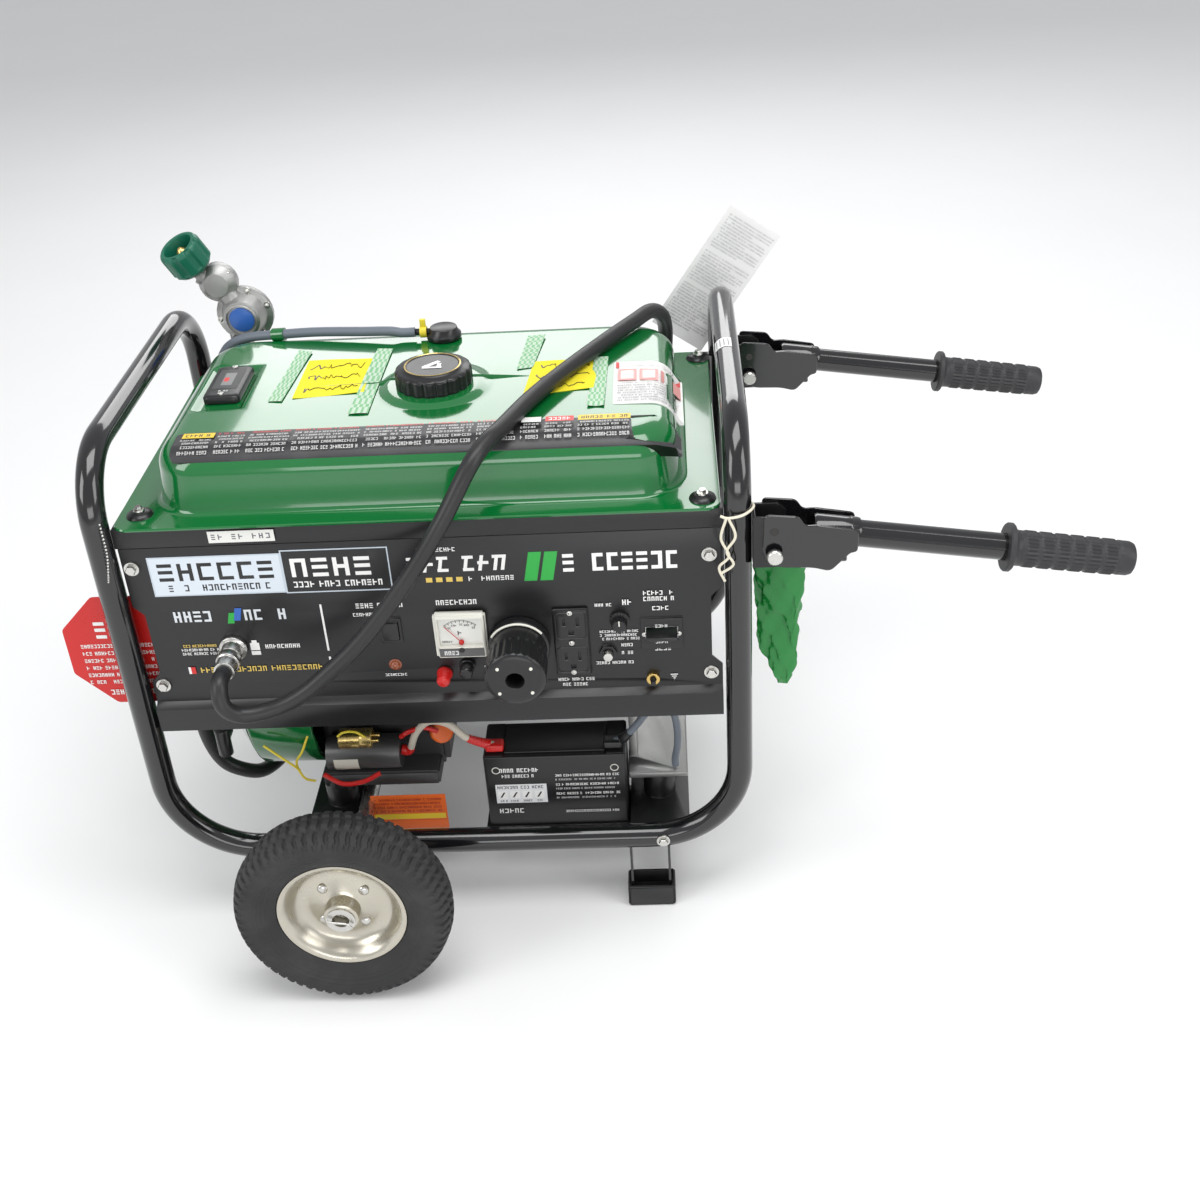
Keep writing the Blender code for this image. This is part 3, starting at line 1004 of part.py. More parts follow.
# ---- papers and bag tied to the frame ----------------------------------------------------
tag_z = TOP_Z - TAG_DROP
tag_r = TAG_ACROSS / 2 / math.cos(math.pi / 8)
tag_turns = [(k + 0.5) * math.pi / 4 for k in range(8)]
tag_outline = [(-SIDE_X - TAG_OUT + tag_r * math.cos(a), tag_z + tag_r * math.sin(a)) for a in tag_turns]
finish(prism("red_tag", tag_outline, "Y", FRONT_Y + TAG_BACK, FRONT_Y + TAG_BACK + TAG_T), TAG_RED, flat=True)

PAPER_LOW = (SIDE_X - 0.0475, TOP_Z - 0.070)
PAPER_LEAN = math.radians(34.6)
PAPER_W = 0.066
PAPER_L = 0.157
paper_up = Vector((math.sin(PAPER_LEAN), math.cos(PAPER_LEAN)))
paper_side = Vector((math.cos(PAPER_LEAN), -math.sin(PAPER_LEAN)))
paper_foot = Vector(PAPER_LOW)
paper_outline = []
for across, along in ((-0.5, 0.0), (0.5, 0.0), (0.5, 1.0), (-0.5, 1.0)):
    point = paper_foot + paper_side * across * PAPER_W + paper_up * along * PAPER_L
    paper_outline.append((point.x, point.y))
paper_y = REAR_Y + TUBE_R + 0.0025
finish(prism("paper_tag", paper_outline, "Y", paper_y, paper_y + 0.0012), PAPER, flat=True)

BAG_X = (SIDE_X + TUBE_R + 0.001, SIDE_X + 0.063)
BAG_Y = (FRONT_Y + 0.027, FRONT_Y + 0.037)
BAG_Z = (PIVOT_Z - 0.176, PIVOT_Z - 0.018)
finish(block("plastic_bag", BAG_X, BAG_Y, BAG_Z, 0.003), FILM)
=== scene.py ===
"""Looks of a portable open-frame generator: shapes, finishes, light and camera."""
import math

import bpy
import numpy as np
from mathutils import Matrix, Vector


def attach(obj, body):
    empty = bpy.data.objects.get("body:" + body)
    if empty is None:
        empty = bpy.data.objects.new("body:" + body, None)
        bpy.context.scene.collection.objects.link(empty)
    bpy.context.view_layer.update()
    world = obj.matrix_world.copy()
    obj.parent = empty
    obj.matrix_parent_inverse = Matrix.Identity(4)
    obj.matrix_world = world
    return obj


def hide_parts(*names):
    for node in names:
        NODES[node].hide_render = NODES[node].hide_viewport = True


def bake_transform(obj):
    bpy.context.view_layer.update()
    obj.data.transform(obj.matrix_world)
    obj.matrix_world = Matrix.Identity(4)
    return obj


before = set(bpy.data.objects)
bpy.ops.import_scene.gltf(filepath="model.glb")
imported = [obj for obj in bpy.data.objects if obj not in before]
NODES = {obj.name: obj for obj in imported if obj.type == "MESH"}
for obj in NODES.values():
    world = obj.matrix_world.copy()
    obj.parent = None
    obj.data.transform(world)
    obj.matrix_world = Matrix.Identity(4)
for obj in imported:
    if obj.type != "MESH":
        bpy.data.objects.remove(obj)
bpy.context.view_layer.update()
SHIFT = -0.1473728      # the frame's middle in the row frame, along X
FRONT = -0.1945
REAR = 0.1945
RAIL = 0.086
SIDE = 0.295
TOP = 0.539
FLANGE = 0.472
CROWN = 0.536
PANEL_Z = 0.3634        # the control panel's middle
TUBE = 0.0127


def at(x, y, z):
    """A point given across from the frame's middle, behind its front centreline and above the rail."""
    return np.array([x + SHIFT, y + FRONT, z + RAIL])


# ---- camera --------------------------------------------------------------------------
def add_camera():
    pitch, yaw, roll = np.radians([32.48, -3.42, -3.83])
    ahead = Vector((math.sin(yaw) * math.cos(pitch), math.cos(yaw) * math.cos(pitch), -math.sin(pitch)))
    flat = Vector((math.cos(yaw), -math.sin(yaw), 0.0))
    rise = flat.cross(ahead)
    right = flat * math.cos(roll) + rise * math.sin(roll)
    up = rise * math.cos(roll) - flat * math.sin(roll)
    data = bpy.data.cameras.new("camera")
    data.lens = 45.66
    data.sensor_width = 36.0
    eye = bpy.data.objects.new("camera", data)
    bpy.context.scene.collection.objects.link(eye)
    turn = Matrix((right, up, -ahead)).transposed().to_4x4()
    eye.matrix_world = Matrix.Translation(Vector(at(0.2373, -1.2043, 1.0597))) @ turn
    bpy.context.scene.camera = eye


add_camera()


# ---- shader maths --------------------------------------------------------------------
class Sock:
    """A shader socket that can be added, multiplied and compared like a number."""

    def __init__(self, mat, out):
        self.mat = mat
        self.out = out

    def math(self, op, *others, clamp=False):
        node = self.mat.tree.nodes.new("ShaderNodeMath")
        node.operation = op
        node.use_clamp = clamp
        for slot, value in zip(node.inputs, (self, *others)):
            if isinstance(value, Sock):
                self.mat.tree.links.new(value.out, slot)
            else:
                slot.default_value = value
        return Sock(self.mat, node.outputs[0])

    def __add__(self, o):
        return self.math("ADD", o)

    def __sub__(self, o):
        return self.math("SUBTRACT", o)

    def __mul__(self, o):
        return self.math("MULTIPLY", o)

    __radd__ = __add__
    __rmul__ = __mul__

    def __rsub__(self, o):
        return (self * -1.0) + o

    def step(self, low, high):
        """0 under low, 1 over high, smooth between."""
        return self.mat.add("ShaderNodeMapRange", {"Value": self, "From Min": low, "From Max": high}, interpolation_type="SMOOTHSTEP")

    def inside(self, low, high, soft=0.0002):
        return self.step(low - soft, low + soft) * (1.0 - self.step(high - soft, high + soft))


class Mat:
    """A Principled material with a method that adds any node."""

    def __init__(self, name, rough, metal=0.0, coat=0.0, spec=0.5):
        self.data = bpy.data.materials.new(name)
        self.data.use_nodes = True
        self.tree = self.data.node_tree
        self.shader = self.tree.nodes["Principled BSDF"]
        self.shader.inputs["Roughness"].default_value = rough
        self.shader.inputs["Metallic"].default_value = metal
        self.shader.inputs["Coat Weight"].default_value = coat
        self.shader.inputs["Coat Roughness"].default_value = 0.05
        self.shader.inputs["Specular IOR Level"].default_value = spec

    def add(self, kind, inputs, out=0, **settings):
        node = self.tree.nodes.new(kind)
        for key, value in settings.items():
            setattr(node, key, value)
        for key, value in inputs.items():
            slot = node.inputs[key]
            if isinstance(value, Sock):
                self.tree.links.new(value.out, slot)
            else:
                slot.default_value = value
        return Sock(self, node.outputs[out])

    def place(self):
        return self.add("ShaderNodeTexCoord", {}, out="Object")

    def noise(self, scale, detail=4.0, rough=0.6):
        return self.add("ShaderNodeTexNoise", {"Vector": self.place(), "Scale": scale, "Detail": detail, "Roughness": rough})

    def axis(self, which):
        return self.add("ShaderNodeSeparateXYZ", {"Vector": self.place()}, out="XYZ".index(which))

    def mix(self, amount, first, second):
        return self.add("ShaderNodeMix", {0: amount, 6: first, 7: second}, out=2, data_type="RGBA")

    def set(self, name, value):
        self.tree.links.new(value.out, self.shader.inputs[name])
        return self

    def bump(self, height, strength, distance=0.001):
        self.set("Normal", self.add("ShaderNodeBump", {"Height": height, "Strength": strength, "Distance": distance}))
        return self


def rgb(r, g, b):
    return (r, g, b, 1.0)


def coated(name, colour, rough, metal=0.0, coat=0.0, grain=400.0, lift=0.15, dirt=0.25, spread=0.08, base=None):
    """A finish with mottled colour, dust in broad patches, varied roughness and a fine bump."""
    mat = Mat(name, rough, metal, coat)
    broad = mat.noise(14.0, 5.0, 0.65).step(0.42, 0.78)
    fine = mat.noise(grain, 3.0, 0.5)
    shade = tuple(min(1.0, v * (1.0 + spread) + 0.25 * dirt * 0.3) for v in colour)
    start = rgb(*colour) if base is None else base(mat)
    mat.set("Base Color", mat.mix(broad * dirt, start, rgb(*shade)))
    mat.set("Roughness", broad * (0.10 * (0.4 + dirt)) + fine * 0.05 + (rough - 0.03))
    return mat.bump(fine, lift, 0.0004)


BLACK_TUBE = coated("tube_gloss_black", (0.006, 0.006, 0.007), 0.14, coat=0.6, grain=60.0, lift=0.03, dirt=0.10)
BLACK_SHEET = coated("sheet_black", (0.008, 0.008, 0.009), 0.32, grain=900.0, lift=0.12, dirt=0.12)
GREEN = coated("tank_green", (0.002, 0.135, 0.027), 0.13, coat=0.8, grain=40.0, lift=0.02, dirt=0.05)
RUBBER = coated("hose_rubber", (0.013, 0.013, 0.014), 0.42, grain=700.0, lift=0.15, dirt=0.25)
TYRE = coated("tyre_rubber", (0.017, 0.017, 0.018), 0.72, grain=500.0, lift=0.35, dirt=0.55)
GRIP = coated("grip_rubber", (0.022, 0.022, 0.024), 0.50, grain=800.0, lift=0.25, dirt=0.35)
ZINC = coated("rim_zinc", (0.56, 0.53, 0.45), 0.27, metal=0.95, grain=90.0, lift=0.08, dirt=0.6, spread=-0.25)
STEEL = coated("bolt_steel", (0.62, 0.61, 0.58), 0.26, metal=1.0, grain=500.0, lift=0.10, dirt=0.4, spread=-0.2)
CAST = coated("cast_alloy", (0.40, 0.40, 0.39), 0.42, metal=0.9, grain=700.0, lift=0.55, dirt=0.4, spread=-0.2)
PLASTIC = coated("plastic_black", (0.010, 0.010, 0.011), 0.30, grain=900.0, lift=0.10, dirt=0.12)
JADE = coated("nut_green", (0.003, 0.120, 0.070), 0.38, grain=500.0, lift=0.15, dirt=0.15)
RED = coated("plastic_red", (0.55, 0.012, 0.010), 0.28, grain=600.0, lift=0.08, dirt=0.1)
GREY = coated("hose_grey", (0.13, 0.15, 0.18), 0.45, grain=600.0, lift=0.12, dirt=0.2)
BRASS = coated("brass", (0.66, 0.46, 0.16), 0.25, metal=1.0, grain=500.0, lift=0.1, dirt=0.3, spread=-0.2)
CREAM = coated("meter_cream", (0.72, 0.71, 0.64), 0.30, grain=600.0, lift=0.04, dirt=0.08)
SOOT = coated("muffler_dark", (0.045, 0.042, 0.040), 0.60, metal=0.5, grain=300.0, lift=0.4, dirt=0.5)
ORANGE = coated("plastic_orange", (0.72, 0.13, 0.02), 0.35, grain=500.0, lift=0.1, dirt=0.2)
GOLD = coated("zinc_yellow", (0.62, 0.47, 0.18), 0.28, metal=0.95, grain=300.0, lift=0.1, dirt=0.3, spread=-0.2)
SLEEVE = coated("clear_sleeve", (0.55, 0.50, 0.42), 0.40, grain=300.0, lift=0.2, dirt=0.3)
YELLOW = coated("wire_yellow", (0.75, 0.60, 0.04), 0.40, grain=500.0, lift=0.1, dirt=0.1)
STRING = coated("cotton_string", (0.72, 0.68, 0.55), 0.85, grain=1500.0, lift=0.8, dirt=0.2)
FILM = coated("green_film", (0.006, 0.200, 0.030), 0.22, grain=85.0, lift=0.9, dirt=0.3)


def printed(name, rough=0.35, lift=0.05):
    """Printed film or paper: the colour comes from the mesh, with a little mottling."""
    def colour(mat):
        return mat.add("ShaderNodeAttribute", {}, attribute_name="ink")
    mat = Mat(name, rough)
    fine = mat.noise(900.0, 3.0)
    ink = colour(mat)
    mat.set("Base Color", mat.mix(mat.noise(25.0).step(0.45, 0.85) * 0.06, ink, rgb(0.5, 0.5, 0.5)))
    mat.set("Roughness", fine * 0.08 + rough)
    return mat.bump(fine, lift, 0.0003)


PRINT = printed("printed_film")
PAPER = printed("printed_paper", 0.8, 0.2)


# ---- numpy surfaces ------------------------------------------------------------------
def make(name, points, quads, mat, caps=(), ink=None, smooth=True):
    """A mesh from points and faces; caps are extra many-sided faces, ink a colour for each face."""
    faces = [list(map(int, q)) for q in quads] + [list(map(int, c)) for c in caps]
    data = bpy.data.meshes.new(name)
    data.from_pydata(np.asarray(points, dtype=float), [], faces)
    data.validate()
    if ink is not None:
        layer = data.attributes.new("ink", "FLOAT_COLOR", "FACE")
        layer.data.foreach_set("color", np.asarray(ink, dtype=np.float32).ravel())
    data.materials.append(mat.data)
    if smooth:
        data.shade_smooth()
        data.set_sharp_from_angle(angle=math.radians(38))
    obj = bpy.data.objects.new(name, data)
    bpy.context.scene.collection.objects.link(obj)
    return obj


def grid_faces(rows, cols, close_cols=True, close_rows=False, first=0):
    """Quads of a rows by cols grid, which may close on itself either way."""
    r = np.arange(rows if close_rows else rows - 1)
    c = np.arange(cols if close_cols else cols - 1)
    a, b = np.meshgrid(r, c, indexing="ij")
    nr, nc = (a + 1) % rows, (b + 1) % cols
    quads = np.stack([a * cols + b, a * cols + nc, nr * cols + nc, nr * cols + b], axis=-1)
    return quads.reshape(-1, 4) + first


def shell(rings, close=False):
    """Points, quads and end caps of a surface through equal rings, ordered so that it faces out."""
    rings = np.asarray(rings)
    rows, cols = rings.shape[:2]
    quads = grid_faces(rows, cols, True, close)
    caps = [] if close else [np.arange(cols)[::-1], np.arange(cols) + (rows - 1) * cols]
    points = rings.reshape(-1, 3)
    a, b, c = points[quads[:, 0]], points[quads[:, 1]], points[quads[:, 2]]
    d = points[quads[:, 3]]
    volume = np.einsum("ij,ij->", a, np.cross(b, c)) + np.einsum("ij,ij->", a, np.cross(c, d))
    if not close:
        for k, sign in ((0, -1.0), (rows - 1, 1.0)):
            ring = rings[k] - rings[k].mean(axis=0)
            normal = np.cross(ring, np.roll(ring, -1, axis=0)).sum(axis=0)
            volume += sign * float(normal @ rings[k].mean(axis=0))
    if volume < 0:
        quads = quads[:, ::-1]
        caps = [cap[::-1] for cap in caps]
    return points, quads, caps


def merged(parts):
    """Several shells put into one mesh."""
    points, quads, caps, count = [], [], [], 0
    for p, q, c in parts:
        points.append(p)
        quads.append(q + count)
        caps += [cap + count for cap in c]
        count += len(p)
    return np.concatenate(points), np.concatenate(quads), caps


def basis(axis):
    """Two unit vectors across an axis."""
    axis = np.asarray(axis, dtype=float) / np.linalg.norm(axis)
    side = np.cross(axis, [0.0, 0.0, 1.0] if abs(axis[2]) < 0.9 else [1.0, 0.0, 0.0])
    side /= np.linalg.norm(side)
    return axis, side, np.cross(axis, side)


def turned(profile, base, axis, sides=64, ripple=None, close=False):
    """A profile of (radius, height) turned about an axis; ripple(angle, height) adds to the radius."""
    axis, side, up = basis(axis)
    profile = np.asarray(profile, dtype=float)
    turn = np.linspace(0, 2 * np.pi, sides, endpoint=False)
    r = np.repeat(profile[:, :1], sides, axis=1)
    if ripple is not None:
        r = r + ripple(turn[None, :], profile[:, 1:2], r)
    ring = np.cos(turn)[None, :, None] * side + np.sin(turn)[None, :, None] * up
    rings = np.asarray(base) + r[..., None] * ring + profile[:, 1][:, None, None] * axis
    return shell(rings, close)


def tubed(path, radius, sides=24, close=False, squash=1.0):
    """A circle carried along a path with as little twist as possible."""
    path = np.asarray(path, dtype=float)
    ahead = np.roll(path, -1, axis=0) - np.roll(path, 1, axis=0)
    if not close:
        ahead[0], ahead[-1] = path[1] - path[0], path[-1] - path[-2]
    ahead /= np.linalg.norm(ahead, axis=1, keepdims=True)
    side = basis(ahead[0])[1]
    sides_at = []
    for t in ahead:
        side = side - t * (side @ t)
        side = side / np.linalg.norm(side)
        sides_at.append(side)
    across = np.array(sides_at)
    up = np.cross(ahead, across)
    turn = np.linspace(0, 2 * np.pi, sides, endpoint=False)
    radius = np.broadcast_to(np.asarray(radius, dtype=float).reshape(-1, 1, 1), (len(path), 1, 1))
    rings = path[:, None, :] + radius * (np.cos(turn)[None, :, None] * across[:, None, :] + squash * np.sin(turn)[None, :, None] * up[:, None, :])
    return shell(rings, close)


def smooth(points, spacing):
    """Even points along a Catmull-Rom curve through the route's own points."""
    route = np.asarray(points, dtype=float)
    ends = np.vstack([2 * route[0] - route[1], route, 2 * route[-1] - route[-2]])
    a, b, c, d = ends[:-3, None], ends[1:-2, None], ends[2:-1, None], ends[3:, None]
    t = np.linspace(0, 1, 24, endpoint=False)[None, :, None]
    fine = 0.5 * (2 * b + (c - a) * t + (2 * a - 5 * b + 4 * c - d) * t ** 2 + (3 * b - a - 3 * c + d) * t ** 3)
    fine = np.vstack([fine.reshape(-1, 3), route[-1:]])
    run = np.concatenate([[0.0], np.cumsum(np.linalg.norm(np.diff(fine, axis=0), axis=1))])
    stops = np.linspace(0, run[-1], max(2, round(run[-1] / spacing) + 1))
    return np.stack([np.interp(stops, run, fine[:, k]) for k in range(3)], axis=1)


def perimeter(corner=8, side=10):
    """Signs and directions around a rounded rectangle, counter-clockwise from +X."""
    sx, sy, dx, dy = [], [], [], []
    signs = [(1, 1), (-1, 1), (-1, -1), (1, -1)]
    for k, (px, py) in enumerate(signs):
        turn = np.linspace(k, k + 1, corner + 1) * np.pi / 2
        sx.append(np.full(corner + 1, px)), sy.append(np.full(corner + 1, py))
        dx.append(np.cos(turn)), dy.append(np.sin(turn))
        nx, ny = signs[(k + 1) % 4]
        run = np.linspace(0, 1, side + 2)[1:-1]
        sx.append(px + (nx - px) * run), sy.append(py + (ny - py) * run)
        dx.append(np.full(side, np.cos(turn[-1]))), dy.append(np.full(side, np.sin(turn[-1])))
    return [np.concatenate(v).astype(float) for v in (sx, sy, dx, dy)]


def stacked(levels, corner=8, side=10):
    """Rounded rectangles (x0, x1, y0, y1, corner radius, z) stacked into one surface's rings."""
    sx, sy, dx, dy = perimeter(corner, side)
    v = np.asarray(levels, dtype=float)[:, :, None]
    hx, hy = (v[:, 1] - v[:, 0]) / 2, (v[:, 3] - v[:, 2]) / 2
    c = np.minimum(v[:, 4], np.minimum(hx, hy))
    x = (v[:, 0] + v[:, 1]) / 2 + sx * (hx - c) + c * dx
    y = (v[:, 2] + v[:, 3]) / 2 + sy * (hy - c) + c * dy
    return np.stack([x, y, np.broadcast_to(v[:, 5], x.shape)], axis=-1)


def rounded_box(low, high, edge, up="Z", corner=None):
    """A box with rounded edges, stacked along the given axis."""
    low, high = np.asarray(low, dtype=float), np.asarray(high, dtype=float)
    order = {"Z": [0, 1, 2], "Y": [0, 2, 1], "X": [1, 2, 0]}[up]
    lo, hi = low[order], high[order]
    corner = edge if corner is None else corner
    turn = np.linspace(0, np.pi / 2, 5)
    inset = edge * (1 - np.sin(turn))
    rise = edge * (1 - np.cos(turn))
    heights = np.concatenate([lo[2] + rise, hi[2] - rise[::-1]])
    insets = np.concatenate([inset, inset[::-1]])
    levels = [(lo[0] + i, hi[0] - i, lo[1] + i, hi[1] - i, max(corner - i, 1e-4), z) for i, z in zip(insets, heights)]
    rings = stacked(levels, 5, 2)
    out = np.empty_like(rings)
    for k, axis in enumerate(order):
        out[..., axis] = rings[..., k]
    return shell(out)


def piece(name, parts, mat, stands_for=(), body="chassis", ink=None):
    """One object from one or more shells, on its body, standing for CAD nodes."""
    points, quads, caps = merged(parts)
    obj = make(name, points, quads, mat, caps, ink)
    if stands_for:
        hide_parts(*stands_for)
    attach(obj, body)
    return obj



def arc_path(corners, radius, count=14, close=False):
    """Corner points joined by straight runs with an arc at each corner."""
    corners = np.asarray(corners, dtype=float)
    before, after = np.roll(corners, 1, axis=0), np.roll(corners, -1, axis=0)
    keep = slice(None) if close else slice(1, -1)
    back = (before - corners)[keep]
    ahead = (after - corners)[keep]
    back /= np.linalg.norm(back, axis=1, keepdims=True)
    ahead /= np.linalg.norm(ahead, axis=1, keepdims=True)
    r = np.broadcast_to(np.asarray(radius, dtype=float), len(back))[:, None, None]
    middle = corners[keep][:, None] + (back + ahead)[:, None] * r
    turn = np.linspace(0, np.pi / 2, count)[None, :, None]
    arcs = middle - r * (ahead[:, None] * np.cos(turn) + back[:, None] * np.sin(turn))
    path = arcs.reshape(-1, 3)
    if not close:
        path = np.vstack([corners[:1], path, corners[-1:]])
    return path


def evened(path, spacing, close=False):
    """The same path with even steps."""
    path = np.vstack([path, path[:1]]) if close else np.asarray(path)
    run = np.concatenate([[0.0], np.cumsum(np.linalg.norm(np.diff(path, axis=0), axis=1))])
    stops = np.linspace(0, run[-1], max(4, round(run[-1] / spacing)) + (0 if not close else 1))
    out = np.stack([np.interp(stops, run, path[:, k]) for k in range(3)], axis=1)
    return out[:-1] if close else out


# ---- cords first ---------------------------------------------------------------------
HOSE_R = 0.008
OVER = 0.4587           # the hose's middle where it lies on the tank, above the rail
LPG_ROUTE = [at(*p) for p in [
    (-0.1905, -0.0429, 0.2530), (-0.1905, -0.0619, 0.2530), (-0.1880, -0.0720, 0.2350), (-0.1740, -0.0680, 0.2210),
    (-0.1470, -0.0610, 0.2210), (-0.1200, -0.0570, 0.2320), (-0.0940, -0.0530, 0.2510), (-0.0500, -0.0480, 0.2920),
    (-0.0010, -0.0420, 0.3530), (0.0320, -0.0340, 0.4020), (0.0580, -0.0160, 0.4440), (0.0720, 0.0060, OVER - 0.002),
    (0.0840, 0.0300, OVER), (0.1070, 0.0900, OVER), (0.1330, 0.1440, OVER), (0.1700, 0.2120, OVER),
    (0.2030, 0.2680, OVER), (0.2200, 0.2980, OVER - 0.0015), (0.2310, 0.3260, 0.4420), (0.2350, 0.3500, 0.4180),
    (0.2340, 0.3640, 0.3850), (0.2280, 0.3720, 0.3450), (0.2050, 0.3770, 0.3060), (0.1600, 0.3800, 0.2800),
    (0.0900, 0.3810, 0.2680), (0.0000, 0.3810, 0.2700), (-0.0900, 0.3800, 0.2860), (-0.1600, 0.3760, 0.3060),
    (-0.2080, 0.3690, 0.3220), (-0.2300, 0.3620, 0.3460), (-0.2345, 0.3610, 0.3717), (-0.2345, 0.3610, 0.3957),
]]
lpg_path = smooth(LPG_ROUTE, 0.004)
lpg = piece("gas_hose", [tubed(lpg_path, HOSE_R, 24)], RUBBER, ["lpg_hose"])
FEED_ROUTE = [at(*p) for p in [
    (-0.1905, 0.0023, 0.2530), (-0.1905, 0.0213, 0.2530), (-0.2060, 0.0400, 0.2420), (-0.2350, 0.0600, 0.2150),
    (-0.2600, 0.0740, 0.1700), (-0.2700, 0.0800, 0.1200), (-0.2690, 0.0820, 0.0800), (-0.2600, 0.0840, 0.0500),
    (-0.2450, 0.0880, 0.0340), (-0.2280, 0.1050, 0.0170), (-0.2150, 0.1350, 0.0100), (-0.2050, 0.1750, 0.0110),
    (-0.1980, 0.2200, 0.0200), (-0.1930, 0.2600, 0.0400), (-0.1860, 0.2950, 0.0750), (-0.1750, 0.3080, 0.1120),
    (-0.1613, 0.3083, 0.1250), (-0.1423, 0.3083, 0.1250),
]]
piece("gas_feed_hose_skin", [tubed(smooth(FEED_ROUTE, 0.004), HOSE_R, 20)], RUBBER, ["gas_feed_hose"])
VENT_ROUTE = [at(*p) for p in [
    (-0.0238, 0.2700, 0.4568), (-0.0378, 0.2700, 0.4568), (-0.0500, 0.2710, 0.4585), (-0.0800, 0.2760, 0.4575),
    (-0.1300, 0.2840, 0.4560), (-0.1700, 0.2890, 0.4530), (-0.2050, 0.2970, 0.4480), (-0.2300, 0.3050, 0.4370),
    (-0.2460, 0.3150, 0.4170), (-0.2510, 0.3280, 0.4030), (-0.2515, 0.3420, 0.4000), (-0.2515, 0.3520, 0.3900),
    (-0.2515, 0.3560, 0.3700), (-0.2450, 0.3560, 0.3300), (-0.2200, 0.3540, 0.2850), (-0.1850, 0.3440, 0.2480),
    (-0.1563, 0.3303, 0.2350), (-0.1423, 0.3303, 0.2350),
]]
piece("vent_hose_skin", [tubed(smooth(VENT_ROUTE, 0.003), 0.005, 18)], GREY, ["vent_hose"])
piece("vent_clip", [tubed(np.linspace(at(-0.165, 0.2885, 0.4534), at(-0.178, 0.291, 0.452), 6), 0.0068, 20)], GREEN)

# ---- frame ---------------------------------------------------------------------------
W, L, RU, RL, RA = SIDE, 0.389, 0.453, 0.090, 0.065
frame_corners = [at(*p) for p in [
    (W, 0, 0), (W, 0, RU), (W, L, RU), (W, L, 0), (-W, L, 0), (-W, L, RU), (-W, 0, RU), (-W, 0, 0)]]
frame_path = evened(arc_path(frame_corners, [RL, RA, RA, RL, RL, RA, RA, RL], 24, True), 0.006, True)
straps = []
for y in (0.0, L):
    foot = [at(0.2005 - 0.01975, y, -0.008), at(0.2005 - 0.01975, y, -0.0748), at(0.2005 + 0.01975, y, -0.0748), at(0.2005 + 0.01975, y, -0.008)]
    line = arc_path(foot, 0.004, 6)
    half = np.array([[0.00125, 0.009], [-0.00125, 0.009], [-0.00125, -0.009], [0.00125, -0.009]])
    ahead = np.gradient(line, axis=0)
    ahead /= np.linalg.norm(ahead, axis=1, keepdims=True)
    out = np.cross(ahead, [0.0, 1.0, 0.0])
    rings = line[:, None, :] + half[None, :, :1] * out[:, None, :] + half[None, :, 1:] * np.array([0.0, 1.0, 0.0])
    straps.append(shell(rings))
piece("frame_tube", [tubed(frame_path, TUBE, 36, True)] + straps, BLACK_TUBE, ["frame_front", "frame_rear", "frame_left_arch", "frame_right_arch"])

# ---- wheels --------------------------------------------------------------------------
AXLE = at(-0.098, 0.0, 0.022)


def tyre_shell(middle, sign):
    """A tyre's section turned about the axle: blocks between zigzag grooves on the tread, ribs on the shoulder."""
    s = np.linspace(0, 1, 92)
    knots_s = np.array([0, .05, .12, .22, .30, .36, .42, .50, .58, .64, .70, .78, .88, .95, 1.0])
    knots_r = np.array([.0643, .0690, .0740, .0830, .0930, .1000, .1040, .1068, .1040, .1000, .0930, .0830, .0740, .0690, .0643])
    knots_h = np.array([-.0150, -.0185, -.0218, -.0250, -.0249, -.0232, -.0150, 0, .0150, .0232, .0249, .0250, .0218, .0185, .0150])
    r, h = np.interp(s, knots_s, knots_r), np.interp(s, knots_s, knots_h)
    kernel = np.ones(5) / 5
    r[2:-2], h[2:-2] = np.convolve(r, kernel, "valid"), np.convolve(h, kernel, "valid")
    turn = np.linspace(0, 2 * np.pi, 720, endpoint=False)[None, :]
    hh, rr = h[:, None], r[:, None]
    tread = 1 / (1 + np.exp(-(rr - 0.0985) * 2500))
    shift = 0.35 * np.abs(((hh / 0.0165) % 2) - 1)
    lugs = (np.cos(turn * 62 + 2 * np.pi * shift) > -0.35).astype(float)
    rows = 0.5 + 0.5 * np.tanh((np.abs(np.abs(hh) - 0.0085) - 0.0014) * 3000)
    height = tread * (0.0026 * lugs * rows)
    ribs = 0.0006 * np.clip(np.cos((rr - 0.082) / 0.0042 * 2 * np.pi), 0, 1) * (rr < 0.097) * (rr > 0.074)
    fins = 0.0016 * (1 - tread) * (rr > 0.0925) * (np.cos(turn * 62) > 0.1)
    radius = rr - 0.0014 * tread + height + fins
    side = np.sign(hh) * (ribs + fins * 0.6) + hh
    rings = np.stack([middle[0] + radius * np.cos(turn), middle[1] + sign * (side + 0 * turn), middle[2] + radius * np.sin(turn)], axis=-1)
    return shell(rings, True)


